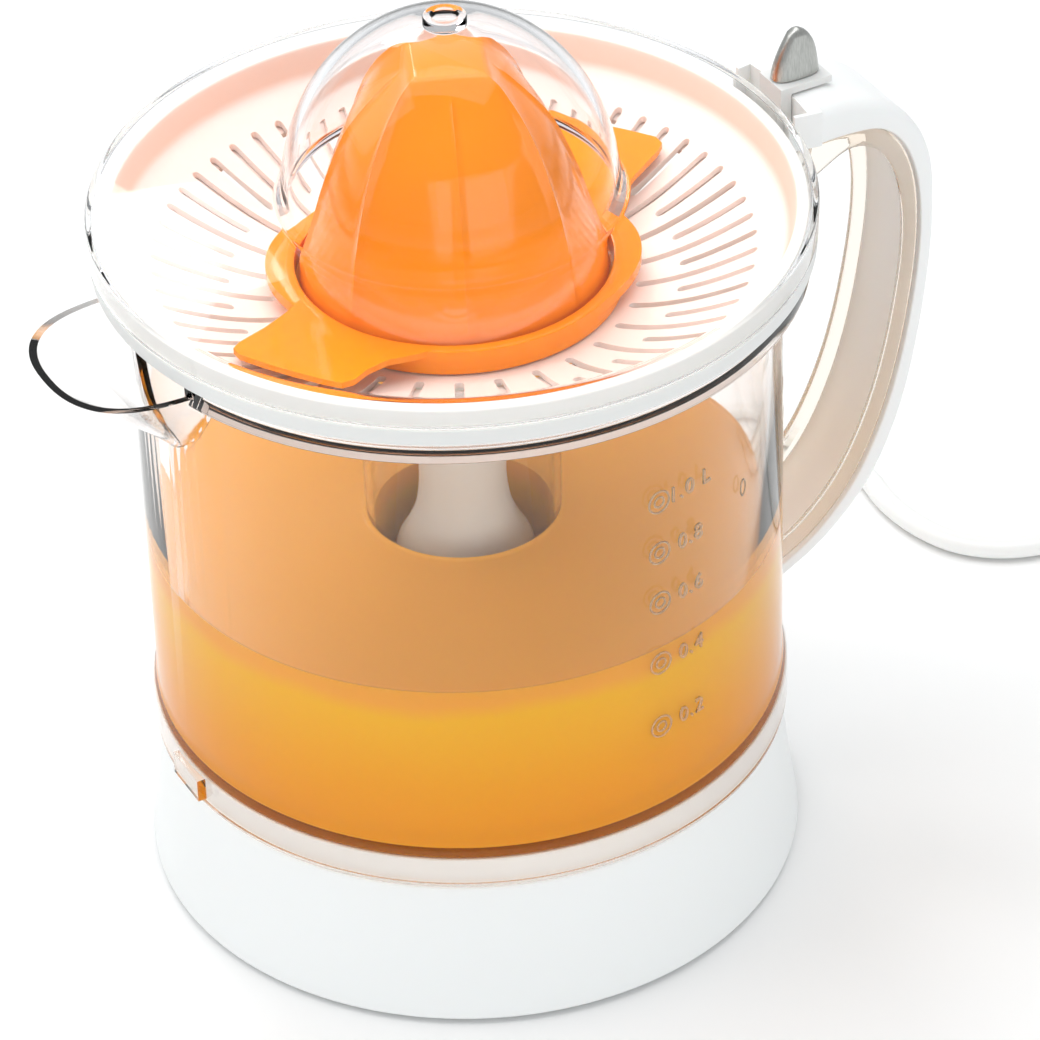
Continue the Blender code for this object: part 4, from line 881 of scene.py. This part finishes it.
dome_angles = [math.radians(90 - 4.5 * i) for i in range(1, 20)]
dome_out = [(36 * math.cos(a), 168.1 + 41.5 * math.sin(a)) for a in dome_angles]
dome_in = [(34.4 * math.cos(a), 166.6 + 41.4 * math.sin(a)) for a in reversed(dome_angles)]
cover_profile = [
    (0, 210.4), (2.4, 210.4, 0.3), (3.0, 211.0, 0.3), (4.6, 211.0, 0.4), (4.6, 209.0, 0.3),
    *[point for point in dome_out if point[0] > 5], (37.2, 168.1, 0.5), (76.3, 168.1, 0.9),
    (77.3, 167.0, 0.5), (77.3, 161.3, 0.4), (75.7, 161.3, 0.4), (75.7, 166.4, 0.6),
    (35.6, 166.4, 0.5), *dome_in, (0, 208.0),
]
clear_cover, tree, shader = clear_plastic("clear_lid_san", "#C9CCDA", 60, 0.02, index=1.25)
lid_mesh = spin_profile("dust_lid", cover_profile, 144)
place_piece("dust_lid", lid_mesh, clear_cover, "cover", ["dust_cover"])


# ---- Pulp sweeper ----
# An orange ABS collar that turns under the cone. Two vanes on it push the pulp round the bowl.

def lump(angle, centre, width):
    """One at the centre of an arc, and nothing beyond its width, in degrees."""
    away = abs((angle - centre + 180) % 360 - 180)
    return 0.5 + 0.5 * math.cos(math.pi * min(1, away / width))


collar_outline = []
for i in range(120):
    angle = 3 * i
    radius = 36.6 + 3.4 * lump(angle, -22, 44) + 3.6 * lump(angle, 152, 44)
    collar_outline.append((radius * math.cos(math.radians(angle)), radius * math.sin(math.radians(angle))))
VANE = [
    (-30, 35.2), (-23.5, 41), (-19, 48), (-16, 56.5), (-14.6, 59), (-12, 59.6), (-6, 58), (0, 56.8), (7, 56),
    (11.5, 55.6), (13.2, 53), (14, 47.5), (17, 42), (23, 38.5), (30, 35.2), (15, 34.9), (0, 34.9),
    (-15, 34.9),
]
vanes = []
for middle in (26, 206):
    turns = [(math.radians(middle + angle), radius) for angle, radius in VANE]
    vanes.append([(radius * math.cos(turn), radius * math.sin(turn)) for turn, radius in turns])
cup_profile = [
    (34, 151.2, 0.4), (36.2, 151.2, 0.5), (36.2, 144.8, 0.5), (0, 144.8), (0, 146.4), (34, 146.4, 0.8),
]
HEXAGON_RADIUS = 4.3
hexagon = [(HEXAGON_RADIUS * math.cos(math.radians(60 * i)), HEXAGON_RADIUS * math.sin(math.radians(60 * i)))
           for i in range(6)]
bore = spin_profile("bore", [(0, 160), (34, 160), (34, 146.5), (0, 146.5)], 144)
vane_mesh = prisms("vanes", vanes, 149.6, 151.1)
for vertex in vane_mesh.vertices:
    vertex.co.z += 0.15 * max(0, math.hypot(vertex.co.x, vertex.co.y) - 0.0366)
sweeper_mesh = combine(spin_profile("cup", cup_profile, 144), [
    (prisms("collar", [collar_outline], 148.6, 151.1), "UNION"),
    (vane_mesh, "UNION"),
    (bore, "DIFFERENCE"),
    (prisms("hexagon", [hexagon], 143, 147), "DIFFERENCE"),
], "sweeper_collar")
orange_abs, tree, shader = principled(
    "glossy_orange_abs", "#FF9000", 0.14, IOR=1.53, Subsurface_Weight=0.1, Specular_IOR_Level=0.3,
)
shader.inputs["Subsurface Radius"].default_value = (1.0, 0.35, 0.05)
shader.inputs["Subsurface Scale"].default_value = 0.003
noise = grain(tree, shader, 2.5, 0.02, (0.13, 0.2))
mottle(tree, shader, noise, "#FF8C00", "#FF9900")
place_piece(
    "sweeper_collar", sweeper_mesh, orange_abs, "sweeper", ["pulp_sweeper"], 0.45, 40, 3,
)


# ---- Cone ----
# The reaming cone is one orange ABS moulding. Its foot is round and its cap is a small square, with a thin
# ridge running down from each corner and from the middle of each face.

CONE_FOOT = 148.8
CONE_STEPS = 160
RIDGE_HALF_WIDTH = 1.9
RIDGE_RISE = 0.8
CONE_LEVELS = [
    (0, 33, 33), (4, 32.4, 32.2), (8.2, 31.8, 31), (16, 30.4, 28.4), (22.2, 29, 26.5), (29.2, 26.8, 23.9),
    (35.2, 24.4, 21.2), (39.2, 22.4, 18.4), (42, 20.6, 16.1), (45.2, 18.2, 13.2), (47.7, 15.8, 11),
    (49.8, 13.6, 9.2), (51.2, 11.6, 8), (51.8, 9.9, 7),
]
cone_loops = []
for h, corner, face in smooth_line(CONE_LEVELS, 4):
    squareness = math.log(max(corner / face, 1)) / math.log(math.sqrt(2))
    corner_rise = RIDGE_RISE * ease(0, 6, h) * (1 - ease(49, 51.8, h))
    face_rise = RIDGE_RISE * ease(0, 6, h) * (1 - ease(46, 50, h))
    loop = []
    for k in range(CONE_STEPS):
        turn = 360 / CONE_STEPS * k
        off_corner = abs((turn + 45) % 90 - 45)
        off_face = 45 - off_corner
        radius = face * math.cos(math.radians(off_face)) ** -squareness
        radius += corner_rise * math.exp(-(off_corner / RIDGE_HALF_WIDTH) ** 2)
        radius += face_rise * math.exp(-(off_face / RIDGE_HALF_WIDTH) ** 2)
        angle = math.radians(22 + turn)
        loop.append((radius * math.cos(angle), radius * math.sin(angle), CONE_FOOT + h))
    cone_loops.append(loop)
deep_orange, tree, shader = principled("deep_orange_abs", "#F98A00", 0.12, IOR=1.53, Specular_IOR_Level=0.4)
grain(tree, shader, 2.5, 0.02, (0.1, 0.16))
cavity = [(8, 146), (8, 182), (13, 182), (19, 176), (24, 165), (27.5, 156), (29.8, 146)]
cone_mesh = combine(loft("cone", cone_loops), [
    (spin_profile("cavity", cavity, 96), "DIFFERENCE"),
    (prisms("socket", [hexagon], 146, 168.7), "DIFFERENCE"),
], "reaming_cone")
place_piece("reaming_cone", cone_mesh, deep_orange, "cone", ["reamer_cone"])
